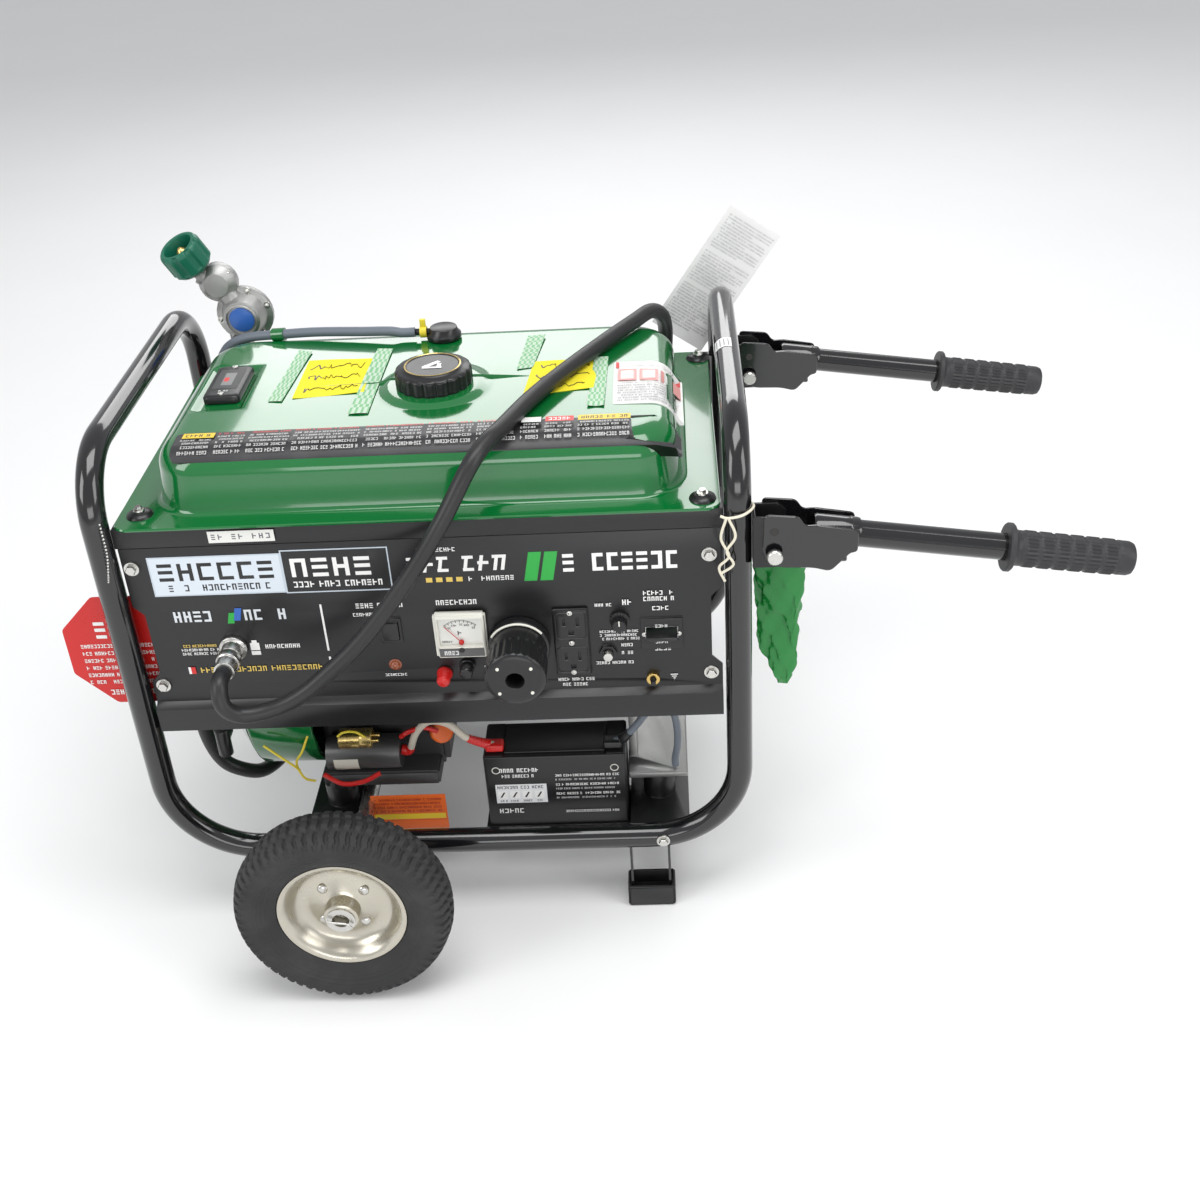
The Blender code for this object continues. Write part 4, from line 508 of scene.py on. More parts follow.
def rim_shells(middle, sign):
    """A dished disc with a rolled edge, a raised ring, a hub and four stud heads."""
    out = np.array([0.0, sign, 0.0])
    front = [(.0083, .020), (.0150, .020), (.0170, .0185), (.0170, .0040), (.0200, .0020), (.0300, -.0005), (.0345, -.0028), (.0400, -.0034),
             (.0455, -.0022), (.0490, .0006), (.0520, .0050), (.0545, .0098), (.0575, .0132), (.0605, .0150), (.0632, .0150), (.0640, .0135)]
    section = front + [(.0640, -.0135)] + [(.0632, -.0150), (.0605, -.0150), (.0575, -.0138), (.0545, -.0120), (.0520, -.0090), (.0490, -.0070),
                                          (.0455, -.0066), (.0400, -.0072), (.0345, -.0068), (.0300, -.0055), (.0200, -.0052), (.0170, -.0070),
                                          (.0170, -.0185), (.0150, -.020), (.0083, -.020)]
    parts = [turned(section, middle, out, 96, close=True)]
    studs = []
    for k in range(4):
        a = k * np.pi / 2 + 0.7
        spot = middle + np.array([0.0285 * np.cos(a), 0.0, 0.0285 * np.sin(a)]) + out * -0.0010
        studs.append(turned([(.0052, 0), (.0052, .0018), (.0040, .0032), (.0015, .0038)], spot, out, 20))
    return parts, studs


for side, sign in (("front", -1), ("rear", 1)):
    middle = at(-0.098, 0.1945 + sign * 0.3105, 0.022)
    body = "wheel_" + side
    piece("tyre_skin_" + side, [tyre_shell(middle, sign)], TYRE, ["tyre_" + side], body)
    parts, studs = rim_shells(middle, sign)
    piece("rim_skin_" + side, parts, ZINC, ["rim_" + side], body)
    piece("rim_studs_" + side, studs, STEEL, (), body)
    end = middle + np.array([0.0, sign * 0.0205, 0.0])
    out = np.array([0.0, sign, 0.0])
    piece("axle_washer_" + side, [turned([(.0083, 0), (.0145, 0), (.0145, .0015), (.0083, .0015)], end, out, 40, close=True)], STEEL)
    pin = smooth([end + out * .005 + [-.013, 0, .004], end + out * .005 + [-.006, 0, .001], end + out * .005 + [.006, 0, -.001], end + out * .005 + [.011, 0, -.006]], .001)
    piece("cotter_pin_" + side, [tubed(pin, .0012, 10)], STEEL)
axle_from, axle_to = at(-0.098, 0.1945 - 0.321, 0.022), at(-0.098, 0.1945 + 0.321, 0.022)
piece("axle_bar", [turned([(.0070, 0), (.0080, .001), (.0080, .641), (.0070, .642)], axle_from, (0, 1, 0), 32)], STEEL, ["axle"])

# ---- tank ----------------------------------------------------------------------------
FX, FY2 = (-0.279 + SHIFT, 0.2795 + SHIFT), (-0.1995, 0.1505)
BX, BY = (FX[0] + 0.033, FX[1] - 0.033), (FY2[0] + 0.023, FY2[1] - 0.040)


def tank_shell():
    """Rounded rectangles from the tank's floor over its flange, up a drafted side and a round shoulder to a
    low crown, with a raised pad round the neck and a shallow dish under the gauge."""
    floor, lower = FLANGE - 0.056, (-0.1495, 0.1055)
    levels = [(BX[0] + .03, BX[1] - .03, lower[0] + .03, lower[1] - .03, .02, floor), (BX[0] + .012, BX[1] - .012, lower[0] + .012, lower[1] - .012, .033, floor + .001),
              (BX[0], BX[1], lower[0], lower[1], .045, floor + .012), (BX[0], BX[1], lower[0], lower[1], .045, FLANGE - .001)]
    levels += [(FX[0], FX[1], FY2[0], FY2[1], .014, FLANGE), (FX[0] - .0006, FX[1] + .0006, FY2[0] - .0006, FY2[1] + .0006, .014, FLANGE + .0015),
               (FX[0], FX[1], FY2[0], FY2[1], .014, FLANGE + .003)]
    for lift, go in ((.0032, -.006), (.0036, -.0035), (.005, -.0015), (.008, -.0003)):
        levels.append((BX[0] + go, BX[1] - go, BY[0] + go, BY[1] - go, .045 - go, FLANGE + lift))
    turn = np.linspace(0, np.pi / 2, 16)
    for a in turn:
        go, z = .003 + .0245 * (1 - np.cos(a)), CROWN - .026 + .0245 * np.sin(a)
        levels.append((BX[0] + go, BX[1] - go, BY[0] + go, BY[1] - go, max(.045 - go * .6, .02), z))
    for k in range(1, 64):
        t = k / 64
        go = .0275 + (.142 - .0275) * t
        levels.append((BX[0] + go, BX[1] - go, BY[0] + go, BY[1] - go, max(.030 * (1 - t), .0005), CROWN - .0015 + .0015 * np.sin(t * np.pi / 2)))
    rings = stacked(levels, 12, 60)
    x, y, z = rings[..., 0], rings[..., 1], rings[..., 2]
    top = (z > CROWN - 0.006)
    cx, cy = at(.010, .150, 0)[:2]
    d = np.hypot(x - cx, (y - cy))
    z += top * (0.0035 / (1 + np.exp((d - .050) * 700)))
    gx, gy = at(-.199, .168, 0)[:2]
    q = np.maximum(np.abs(x - gx) - .023, np.abs(y - gy) - .048)
    z -= top * 0.0045 / (1 + np.exp(q * 900))
    return shell(rings)


neck_at = at(.010, .150, 0)
neck_at[2] = CROWN - 0.004
neck = turned([(.0215, .001), (.0215, .0128), (.0225, .014), (.0262, .014), (.0270, .0128), (.0270, .0035), (.0290, .001)], neck_at, (0, 0, 1), 72, close=True)
tank_skin = piece("tank_skin", [tank_shell(), neck], GREEN, ["fuel_tank"])
cap_z = CROWN + 0.0016


def lobes(angle, height, radius):
    """Round scallops down the cap's side, fading at its top."""
    side = 1 / (1 + np.exp(-(radius - 0.033) * 4000)) * (1 / (1 + np.exp((height - 0.0165) * 1500)))
    return side * 0.0016 * (np.abs(np.cos(9 * angle)) ** 0.6 * 1.25 - 1.25)


cap_at = np.array([neck_at[0], neck_at[1], cap_z])
cap_profile = [(.0278, .0106), (.0278, 0), (.0365, 0), (.0374, .0012), (.0375, .004), (.0375, .0145), (.0372, .0160), (.0360, .0172), (.0335, .0182), (.0300, .0188),
               (.0290, .0196), (.0280, .0204), (.0268, .0207), (.0255, .0204), (.0250, .0198), (.0005, .0198), (.0005, .0106)]
piece("cap_skin", [turned(cap_profile, cap_at, (0, 0, 1), 216, lobes, close=True)], PLASTIC, ["fuel_cap"], "cap")
ring_gold = turned([(.0252, .0199), (.0264, .0209), (.0276, .0206), (.0262, .0199)], cap_at, (0, 0, 1), 96, close=True)
piece("cap_ring", [ring_gold], GOLD, (), "cap")

# ---- what carried-over CAD pieces wear -------------------------------------------------


def dress(mat, *names, round_by=0.0006):
    """A CAD piece keeps its shape and gets the finish, softened edges and smooth round faces."""
    for name in names:
        obj = NODES[name]
        obj.data.materials.clear()
        obj.data.materials.append(mat.data)
        weld = obj.modifiers.new("weld", "WELD")
        weld.merge_threshold = 0.00002
        if round_by:
            edge = obj.modifiers.new("edge", "BEVEL")
            edge.width = round_by
            edge.segments = 2
            edge.limit_method = "ANGLE"
            edge.angle_limit = math.radians(40)
            edge.harden_normals = True
        obj.data.shade_smooth()


dress(BLACK_SHEET, "crossmember_left", "crossmember_right", "handle_bracket_front", "handle_bracket_rear", "tank_channel_front", "tank_channel_rear")
dress(BLACK_SHEET, "control_panel", round_by=0.0004)
dress(RUBBER, "foot_pad_front", "foot_pad_rear", round_by=0.0015)
# Near-black finish on the engine block is painted shade: the block sits in shadow under the tank, and this dark colour
# stands in for that shadow.
ENGINE_SHADE = coated("engine_painted_shade", (.075, .075, .078), .50, metal=.6, grain=500.0, lift=.4, dirt=.4)
dress(ENGINE_SHADE, "engine_block", round_by=0.0012)
dress(CAST, "alternator", "regulator_body", round_by=0.0012)
dress(SOOT, "muffler", round_by=0.002)
dress(STEEL, "crank_rotor", "breaker_button", "lpg_inlet", round_by=0.0004)
dress(PLASTIC, "fuel_cap_plug", "vent_valve", "engine_switch", "breaker_lever", "air_cleaner", "recoil_handle", "duplex_outlet", "dc_post_black", round_by=0.0005)
dress(RED, "dc_post_red", "voltmeter_needle", round_by=0.0)
dress(BRASS, "ground_nut", round_by=0.0003)
dress(ORANGE, "oil_cap", round_by=0.0008)
dress(CREAM, "voltmeter", round_by=0.0010)

# ---- handles -------------------------------------------------------------------------
DROOP = math.radians(8.6)
run = np.array([math.cos(DROOP), 0.0, -math.sin(DROOP)])
PLATE = [(-0.009, 0.040), (0.022, 0.037), (0.028, 0.027), (0.037, 0.028), (0.076, 0.021), (0.075, -0.001), (0.069, -0.002),
         (0.051, -0.021), (0.035, -0.0165), (0.008, -0.0155), (-0.006, -0.0115), (-0.011, 0.002)]


def soft_outline(points, radius, steps=5):
    """An outline with each corner turned into a small curve."""
    p = np.asarray(points, dtype=float)
    before, after = np.roll(p, 1, axis=0), np.roll(p, -1, axis=0)
    out = []
    for b, c, a in zip(before, p, after):
        u, v = (b - c), (a - c)
        r = min(radius, np.linalg.norm(u) / 2.2, np.linalg.norm(v) / 2.2)
        s, e = c + u / np.linalg.norm(u) * r, c + v / np.linalg.norm(v) * r
        t = np.linspace(0, 1, steps)[:, None]
        out.append((1 - t) ** 2 * s + 2 * t * (1 - t) * c + t ** 2 * e)
    return np.vstack(out)


def sheet_plate(outline, axis_y, thick, edge=0.0006):
    """A flat plate in the XZ plane with slightly rounded edges."""
    centre = outline.mean(axis=0)
    rings = []
    for y, s in ((0, edge), (edge, 0), (thick - edge, 0), (thick, edge)):
        d = outline - centre
        grown = centre + d * (1 - s / np.maximum(np.linalg.norm(d, axis=1, keepdims=True), 1e-6))
        rings.append(np.stack([grown[:, 0], np.full(len(grown), axis_y + y), grown[:, 1]], axis=1))
    return shell(rings)


def ribs_of(angle, height, radius):
    """Lengthwise ribs with a plain band at each end, broken by ring grooves between."""
    band = 1 / (1 + np.exp(-(height - .016) * 1500)) * 1 / (1 + np.exp((height - .104) * 1500))
    rings = np.clip(np.cos(height / .0145 * 2 * np.pi) * 3 - 1.6, 0, 1)
    return band * (0.0007 * np.clip(np.cos(angle * 26) * 2, -1, 1) * (1 - rings) - .0004 * rings) * (radius > .0140)


for side, y in (("front", 0.0), ("rear", 0.389)):
    body = "handle_" + side
    pivot = at(0.327, y, 0.346)
    outline = soft_outline(np.asarray(PLATE) + pivot[[0, 2]], 0.005)
    cheeks = [sheet_plate(outline, pivot[1] + s, .0025) for s in (-.0176, .0151)]
    root = pivot + [0, 0, .020]
    bridge = rounded_box(pivot + [.037, -.0165, -.012], pivot + [.066, .0165, .0205], .002)
    neck_from = root + run * .036
    body_profile = [(.0005, 0), (.0135, 0), (.0148, .002), (.0148, .040), (.0142, .0420), (.0128, .0424), (.0125, .044), (.0125, .182), (.0005, .182)]
    arm = turned(body_profile, neck_from, run, 48)
    crimp = turned([(.0150, 0), (.01535, .0010), (.0150, .0020)], neck_from + run * .033, run, 48, close=False)
    piece("handle_arm_skin_" + side, cheeks + [bridge, arm, crimp], BLACK_TUBE, ["handle_arm_" + side], body)
    grip_at = root + run * .213
    grip_profile = [(.0128, 0), (.0215, 0), (.0225, .0012), (.0225, .0048), (.0215, .006), (.0185, .0066), (.0168, .0085), (.0165, .012)]
    grip_profile += [(.0165 - .0006 * t, .012 + .098 * t) for t in np.linspace(0, 1, 90)]
    grip_profile += [(.0158, .113), (.0145, .1165), (.0120, .118), (.0045, .118), (.0035, .117), (.0035, .0305), (.0128, .0300)]
    piece("grip_skin_" + side, [turned(grip_profile, grip_at, run, 104, ribs_of, close=True)], GRIP, ["handle_grip_" + side], body)
    bolts = []
    for s in (-1, 1):
        bolts.append(turned([(.0001, .0045), (.0062, .0045), (.0072, .0036), (.0078, .0018), (.0078, 0)], pivot + [0, s * .0228, 0], (0, s, 0), 6 if s > 0 else 40))
    piece("pivot_bolts_" + side, bolts, STEEL)
    hole = turned([(.0001, .0006), (.0034, .0006), (.0038, 0)], pivot + [0.0, -.0178, .0225], (0, -1, 0), 24)
    piece("lock_hole_" + side, [hole], SOOT, (), body)

# ---- fasteners -----------------------------------------------------------------------


def dome(spot, axis, r=.007, high=.004, hexa=False):
    """A washer with a domed or six-sided head on it."""
    washer = turned([(.0001, .0014), (r * 1.15, .0014), (r * 1.2, .0007), (r * 1.2, 0)], spot, axis, 36)
    if hexa:
        head = turned([(.0001, high + .001), (r * .72, high + .001), (r * .82, high), (r * .82, .0012)], spot, axis, 6)
    else:
        t = np.linspace(0, np.pi / 2, 8)
        head = turned([(max(r * .78 * np.sin(a), .0001), .0012 + high * .8 * np.cos(a)) for a in t], spot, axis, 32)
    return [washer, head]


def many(*lists):
    return [item for group in lists for item in group]


piece("panel_bolts", many(*[dome(at(x, -.0001, z), (0, -1, 0), .0062, .0045, True) for x, z in ((-.2705, .3445), (.2685, .338), (-.2685, .2105), (.2685, .2055))]), STEEL)
tank_bolts = []
for x, y in ((-.259, .022), (.264, .0135), (-.259, .327), (.269, .327)):
    spot = at(x, y, .3893)
    tank_bolts += [turned([(.0001, .0048), (.0075, .0042), (.0118, .0018), (.0126, 0)], spot, (0, 0, 1), 40)]
piece("tank_washers", tank_bolts, PLASTIC)
piece("tank_bolts", many(*[dome(at(x, y, .3941), (0, 0, 1), .0045, .0035, True) for x, y in ((-.259, .022), (.264, .0135), (-.259, .327), (.269, .327))]), STEEL)
piece("outlet_screws", many(*[dome(at(.136, -.0042, .2474 + z), (0, -1, 0), .0022, .0012) for z in (0.0, .034, -.034)]), STEEL)
piece("breaker_screws", many(*[dome(at(.222 + x, -.0026, .2535 + z), (0, -1, 0), .0020, .0010) for x, z in ((-.0165, 0.0), (.0165, 0.0))]), STEEL)

# ---- printed marks: flat inked film, made of generic bars and blocks -------------------


class Ink:
    """Collects flat inked patches on one plane and turns them into one printed film."""

    def __init__(self, place):
        self.place = place
        self.points, self.quads, self.ink = [], [], []
        self.layer = 0

    def patch(self, corners, colour):
        n = len(self.points)
        self.layer += 1
        for a, b in corners:
            self.points.append(self.place(a, b, self.layer))
        self.quads.append([n, n + 1, n + 2, n + 3])
        self.ink.append((*colour, 1.0))

    def bar(self, x0, x1, z0, z1, colour, slant=0.0):
        self.patch([(x0, z0), (x1, z0), (x1 + slant, z1), (x0 + slant, z1)], colour)

    def words(self, x0, x1, z, high, colour, seed=0, wide=0.72, slant=0.0):
        """A line of letter-like marks: upright and level strokes in a seeded order, with word gaps."""
        dice = np.random.default_rng(seed)
        x = x0
        step = high * wide
        pen = high * 0.20
        while x + step * 0.8 < x1:
            kind = dice.integers(0, 7)
            w = step * 0.74
            if kind == 6 and x > x0 + step:
                x += step * 0.7
                continue
            if kind in (0, 1, 2, 4):
                self.bar(x, x + pen, z, z + high, colour, slant)
            if kind in (0, 3, 4):
                self.bar(x + w - pen, x + w, z, z + high, colour, slant)
            if kind in (1, 3, 5, 4):
                self.bar(x, x + w, z + high - pen, z + high, colour, 0)
            if kind in (0, 2, 5):
                self.bar(x, x + w, z + high * .42, z + high * .42 + pen, colour, 0)
            if kind in (1, 5, 3):
                self.bar(x, x + w, z, z + pen, colour, 0)
            x += step

    def make(self, name, mat=None, body="chassis"):
        obj = make(name, self.points, self.quads, mat or PRINT, (), self.ink, smooth=False)
        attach(obj, body)
        return obj


WHITE, SILVER, BLACK, DARK = (.80, .80, .78), (.50, .56, .62), (.008, .008, .009), (.03, .03, .032)
YELL, REDI, GRN, BLUE, GOLDI = (.75, .52, .02), (.60, .02, .015), (.02, .36, .05), (.03, .12, .45), (.70, .50, .10)


def on_front(a, b, layer):
    return at(a, -.00025 - layer * 0.0000012, b)


ink = Ink(on_front)
ink.bar(-.2550, -.1290, .3125, .3555, SILVER)
ink.bar(-.2535, -.1305, .3140, .3540, (.62, .68, .74))
ink.words(-.2470, -.1350, .3290, .0190, BLACK, 3, 1.0)
ink.words(-.2400, -.1400, .3175, .0070, BLACK, 4, .8)
ink.bar(-.1290, -.0280, .3115, .3585, SILVER)
ink.bar(-.1278, -.0292, .3128, .3572, BLACK)
ink.words(-.1210, -.0330, .3290, .0200, WHITE, 5, 1.0)
ink.words(-.1210, -.0360, .3175, .0065, WHITE, 6, .8)
ink.words(-.0050, .0350, .3510, .0042, WHITE, 7, .9)
ink.words(-.0120, .0900, .3290, .0165, WHITE, 8, .85, .003)
for k in range(4):
    ink.bar(.004 + k * .0095, .010 + k * .0095, .3180, .3230, GOLDI)
ink.words(.0440, .0900, .3180, .0050, WHITE, 9, .9)
for k in range(2):
    ink.bar(.0960 + k * .0150, .1080 + k * .0150, .3160, .3470, GRN, .006)
ink.words(.1330, .2480, .3245, .0190, WHITE, 10, .72)
ink.words(-.2420, -.1960, .2830, .0120, (.62, .65, .68), 11, .8)
ink.bar(-.1915, -.1850, .2800, .2920, GRN, .003)
ink.bar(-.1850, -.1785, .2830, .2970, BLUE, .003)
ink.words(-.1740, -.1270, .2830, .0120, (.62, .65, .68), 12, .8)
for z0, z1 in ((.2450, .2980), (.2240, .2380)):
    ink.bar(-.1005, -.0985, z0, z1, WHITE)
ink.words(-.0750, -.0180, .2920, .0055, WHITE, 13, .8)
ink.words(-.0700, -.0480, .2830, .0038, WHITE, 14, .8)
ink.words(.0060, .0560, .2925, .0055, WHITE, 15, .8)
for k in range(3):
    ink.words(-.2420, -.2000, .2540 - k * .0045, .0030, GOLDI if k == 0 else WHITE, 20 + k, .8)
ink.bar(-.1745, -.1655, .2485, .2570, WHITE)
ink.bar(-.1725, -.1675, .2570, .2600, WHITE)
ink.bar(-.1745, -.1655, .2430, .2475, WHITE)
ink.words(-.1600, -.1260, .2500, .0048, WHITE, 23, .8)
ink.bar(-.2400, -.2330, .2230, .2310, WHITE)
ink.bar(-.2375, -.2330, .2230, .2310, REDI)
ink.words(-.2280, -.1060, .2240, .0060, GOLDI, 24, .85)
ink.words(-.0480, -.0250, .2130, .0030, WHITE, 25, .8)
ink.words(.0450, .0760, .2160, .0055, WHITE, 26, .8)
ink.words(.1200, .1560, .2005, .0036, WHITE, 27, .8)
ink.words(.1240, .1500, .1945, .0036, WHITE, 28, .8)
for k in range(3):
    ink.words(.1630, .2020, .2550 - k * .0042, .0028, WHITE, 30 + k, .8)
ink.words(.1600, .1760, .2850, .0036, WHITE, 34, .8)
ink.words(.1860, .1980, .2860, .0060, WHITE, 35, .8)
ink.words(.2060, .2380, .2960, .0048, WHITE, 36, .8)
ink.words(.2060, .2380, .2895, .0048, WHITE, 37, .8)
ink.words(.2140, .2300, .2790, .0045, WHITE, 38, .9)
ink.words(.2110, .2330, .2330, .0045, WHITE, 39, .9)
ink.words(.1580, .1960, .2190, .0034, WHITE, 40, .8)
for k, z in enumerate((.2300, .2390)):
    ink.words(.1830, .1960, z, .0036, WHITE, 41 + k, .8)
for k in range(4):
    ink.bar(.2290 + k * .0012, .2360 - k * .0012, .2040 - k * .0022, .2050 - k * .0022, WHITE)
ink.bar(-.1920, -.1300, .3695, .3817, (.74, .74, .70))
for k in range(9):
    ink.words(-.1890 + k * .0064, -.1838 + k * .0064, .3728, .0056, (.10, .10, .12), 50 + k, .9)
ink.make("panel_print")

dress(STEEL, "lpg_ferrule", round_by=0.0003)
dress(GREEN, "recoil_cover", round_by=0.0015)
SHADED = coated("starter_shell", (.10, .10, .10), .38, metal=.7, grain=500.0, lift=.2, dirt=.4)
dress(SHADED, "starter_motor", round_by=0.0006)
can = [(.0001, 0), (.0096, 0), (.0105, .0008), (.0105, .0200), (.0100, .0210), (.0100, .0228), (.0105, .0238), (.0105, .0342), (.0096, .0350), (.0001, .0350)]
piece("solenoid_can", [turned(can, at(-.1205, .0545, .0960), (1, 0, 0), 48)], GOLD)
piece("solenoid_studs", [turned([(.0001, .007), (.0022, .007), (.0026, .0062), (.0026, 0)], at(-.0855, .0545 + s, .0960), (1, 0, 0), 20) for s in (-.0045, .0045)], BRASS)
label = Ink(lambda a, b, n: at(a, .0605 - .0187 * math.cos(b) - n * 2e-6, .0740 + .0187 * math.sin(b)))
for k in range(8):
    label.bar(-.1280, -.1020, -.85 + k * .13, -.72 + k * .13, (.62, .60, .52))
label.make("starter_label")

# ---- plug, knob, outlet and meter faces ------------------------------------------------


def fluted(angle, height, radius):
    """Grip flutes round the plug's collar, near its outer end only."""
    band = 1 / (1 + np.exp(-(height - .036) * 2500)) * 1 / (1 + np.exp((height - .061) * 2500))
    return band * (radius > .0255) * 0.0013 * (np.clip(np.cos(angle * 24) * 2.2, -1, 1) - 1) * .5


plug_at = at(.086, -.0003, .2484)
plug_profile = [(.0245, 0), (.0285, .0006), (.0295, .0030), (.0295, .0118), (.0288, .0128), (.0272, .0140), (.0268, .0300), (.0272, .0330), (.0288, .0345)]
plug_profile += [(.0289, v) for v in np.linspace(.0355, .0610, 14)]
plug_profile += [(.0284, .0625), (.0270, .0640), (.0240, .0652), (.0200, .0658), (.0120, .0660), (.0090, .0658), (.0085, .0650), (.0085, .0362), (.0005, .0361), (.0005, 0)]
piece("plug_skin", [turned(plug_profile, plug_at, (0, -1, 0), 192, fluted, close=True)], PLASTIC, ["locking_plug"], "twist_plug")
dots = []
for a in (40, 138, 222, 318):
    spot = plug_at + np.array([.0205 * math.cos(math.radians(a)), -.0657, .0205 * math.sin(math.radians(a))])
    dots.append(turned([(.0001, .0010), (.0014, .0010), (.0017, .0004), (.0017, 0)], spot, (0, -1, 0), 20))
piece("plug_dots", dots, CREAM, (), "twist_plug")
crescent = []
for a in np.linspace(math.radians(38), math.radians(148), 40):
    crescent.append([plug_at[0] + .0290 * math.cos(a), plug_at[1] - .0150, plug_at[2] + .0290 * math.sin(a)])
piece("plug_rim_mark", [tubed(np.array(crescent), .0012, 10)], CREAM, (), "twist_plug")
knob_at = at(.1825, -.0003, .2694)
knob_profile = [(.0005, 0), (.0094, 0), (.0095, .0010), (.0095, .0030), (.0078, .0042), (.0074, .0120), (.0068, .0136), (.0050, .0140), (.0005, .0140)]
piece("knob_skin", [turned(knob_profile, knob_at, (0, -1, 0), 120, lambda a, h, r: (h > .004) * (r > .0066) * .0005 * (np.cos(a * 18) - 1))], PLASTIC, ["selector_knob"], "voltage_knob")
mark = [knob_at + [-.0006, -.0138, .001], knob_at + [.0006, -.0144, .0068]]
piece("knob_pointer", [rounded_box(np.minimum(*mark), np.maximum(*mark), .0002)], CREAM, (), "voltage_knob")

meter = Ink(lambda a, b, n: at(.031 + a, -.0042 - n * 2e-6, .2614 + b))
meter.bar(-.0205, .0205, -.0115, .0195, (.78, .78, .74))
for k in range(41):
    a = math.radians(130 - k * 2.0)
    r1 = .0225 if k % 5 else .0212
    c, s = math.cos(a), math.sin(a)
    w = .00018 if k % 5 else .00030
    meter.patch([(r1 * c - w * s, r1 * s - .008 + w * c), (.0242 * c - w * s, .0242 * s - .008 + w * c), (.0242 * c + w * s, .0242 * s - .008 - w * c), (r1 * c + w * s, r1 * s - .008 - w * c)], BLACK)
for k in range(5):
    a = math.radians(128 - k * 19)
    meter.words(.0188 * math.cos(a) - .0022, .0188 * math.cos(a) + .0028, .0188 * math.sin(a) - .0090, .0022, BLACK, 120 + k, .8)
meter.words(-.0030, .0030, -.0010, .0048, BLACK, 126, 1.0)
meter.words(-.0190, -.0080, -.0095, .0022, BLACK, 127, .8)
meter.make("meter_dial_print")
low = Ink(lambda a, b, n: at(.031 + a, -.0093 - n * 2e-6, .2614 + b))
low.bar(-.0215, .0215, -.0225, -.0135, (.10, .10, .10))
low.words(-.0170, .0000, -.0205, .0045, WHITE, 128, .8)
low.make("meter_plate_print")
piece("meter_screw", dome(at(.031, -.0089, .2505 - .004), (0, -1, 0), .0022, .0012), PLASTIC)
meter_rim = [at(.031 + a, -.0088, .2614 + b) for a, b in ((-.0215, -.0125), (.0215, -.0125), (.0215, .0205), (-.0215, .0205))]
piece("meter_rim", [tubed(evened(arc_path(meter_rim, .0015, 6, True), .001, True), .0007, 8, True)], CREAM)
# Thin grey strips just under each outlet slot's lower edge are painted highlight: the lit lower lip of each slot,
# lighter than the black outlet face.
faces = Ink(lambda a, b, n: at(.136 + a, -.00405 - n * 2e-6, .2468 + b))
for up in (-.0195, .0195):
    for dx, dz, w, h in ((-.0065, .004, .0024, .008), (.0065, .004, .0024, .010), (0, -.008, .0048, .0055)):
        faces.bar(dx - w / 2 - .0006, dx + w / 2 + .0006, up + dz - h / 2 - .0006, up + dz - h / 2, (.10, .10, .105))
faces.make("outlet_slot_highlights")
for k, up in enumerate((-.0195, .0195)):
    ring = [at(.136 + a, -.0040, .2468 + up + b) for a, b in ((-.0145, -.0145), (.0145, -.0145), (.0145, .0145), (-.0145, .0145))]
    piece("outlet_ring_%d" % k, [tubed(evened(arc_path(ring, .004, 8, True), .001, True), .0007, 8, True)], PLASTIC)
lamp_at = at(-.037, -.0003, .2260)
piece("oil_lamp", [turned([(.0001, .0048), (.0030, .0042), (.0044, .0026), (.0050, .0006), (.0062, .0004), (.0064, 0)], lamp_at, (0, -1, 0), 28)], coated("lamp_amber", (.25, .06, .02), .2, coat=.5, dirt=.05))
breaker = Ink(lambda a, b, n: at(.222 + a, -.00265 - n * 2e-6, .2529 + b))
for up, seed in ((.0072, 130), (-.0108, 131)):
    breaker.words(-.0060, .0070, up, .0034, WHITE, seed, .9)
breaker.make("breaker_print")

# ---- battery and its leads -------------------------------------------------------------
b0, b1 = at(.030, .036, -.0132), at(.179, .095, .0790)
case = [rounded_box(b0, b1, .0018, "Z", .003)]
case += [rounded_box(at(.052, .042, .0785), at(.157, .089, .0812), .0012)]
case += [rounded_box(at(.0315, .0375, .0785), at(.0505, .0935, .0800), .0010), rounded_box(at(.1585, .0375, .0785), at(.1775, .0935, .0800), .0010)]
piece("battery_skin", case, PLASTIC, ["battery"])
bat = Ink(lambda a, b, n: at(a, .0357 - n * 1.5e-6, b))
bat.words(.046, .088, .0590, .0052, WHITE, 140, .75)
bat.words(.048, .082, .0520, .0040, WHITE, 141, .75)
bat.bar(.040, .094, .0180, .0430, (.70, .71, .72))
bat.words(.042, .092, .0370, .0040, (.08, .08, .09), 142, .8)
for k in range(4):
    bat.bar(.042 + k * .013, .052 + k * .013, .0240, .0340, WHITE)
    bat.patch([(.044 + k * .013, .0255), (.046 + k * .013, .0255), (.050 + k * .013, .0325), (.048 + k * .013, .0325)], BLACK)
    bat.words(.042 + k * .013, .053 + k * .013, .0195, .0026, (.1, .1, .1), 143 + k, .8)
for row in range(3):
    bat.words(.104, .172, .0420 - row * .0120 + .010, .0030, WHITE, 150 + row, .8)
    bat.words(.104, .168, .0420 - row * .0120 + .005, .0022, (.55, .55, .55), 153 + row, .8)
bat.words(.042, .070, .0050, .0060, WHITE, 160, .9)
bat.words(.110, .170, .0040, .0030, WHITE, 161, .8)
bat.make("battery_print")
for k, x in enumerate((.0425, .1665)):
    ring = [at(x + .0040 * math.cos(a), .0356, .0620 + .0040 * math.sin(a)) for a in np.linspace(0, 2 * np.pi, 25)[:-1]]
    piece("battery_mark_%d" % k, [tubed(np.array(ring), .0005, 6, True)], CREAM)
red_route = [at(*p) for p in [(-.0575, .0565, .0780), (-.0485, .0565, .0780), (-.0380, .0480, .1050), (-.0220, .0420, .1240), (-.0020, .0400, .1220), (.0140, .0430, .1020), (.0300, .0470, .0908), (.0420, .0480, .0868)]]
red_path = smooth(red_route, .002)
piece("red_lead_skin", [tubed(red_path, .0038, 16)], SLEEVE, ["battery_cable_red"])
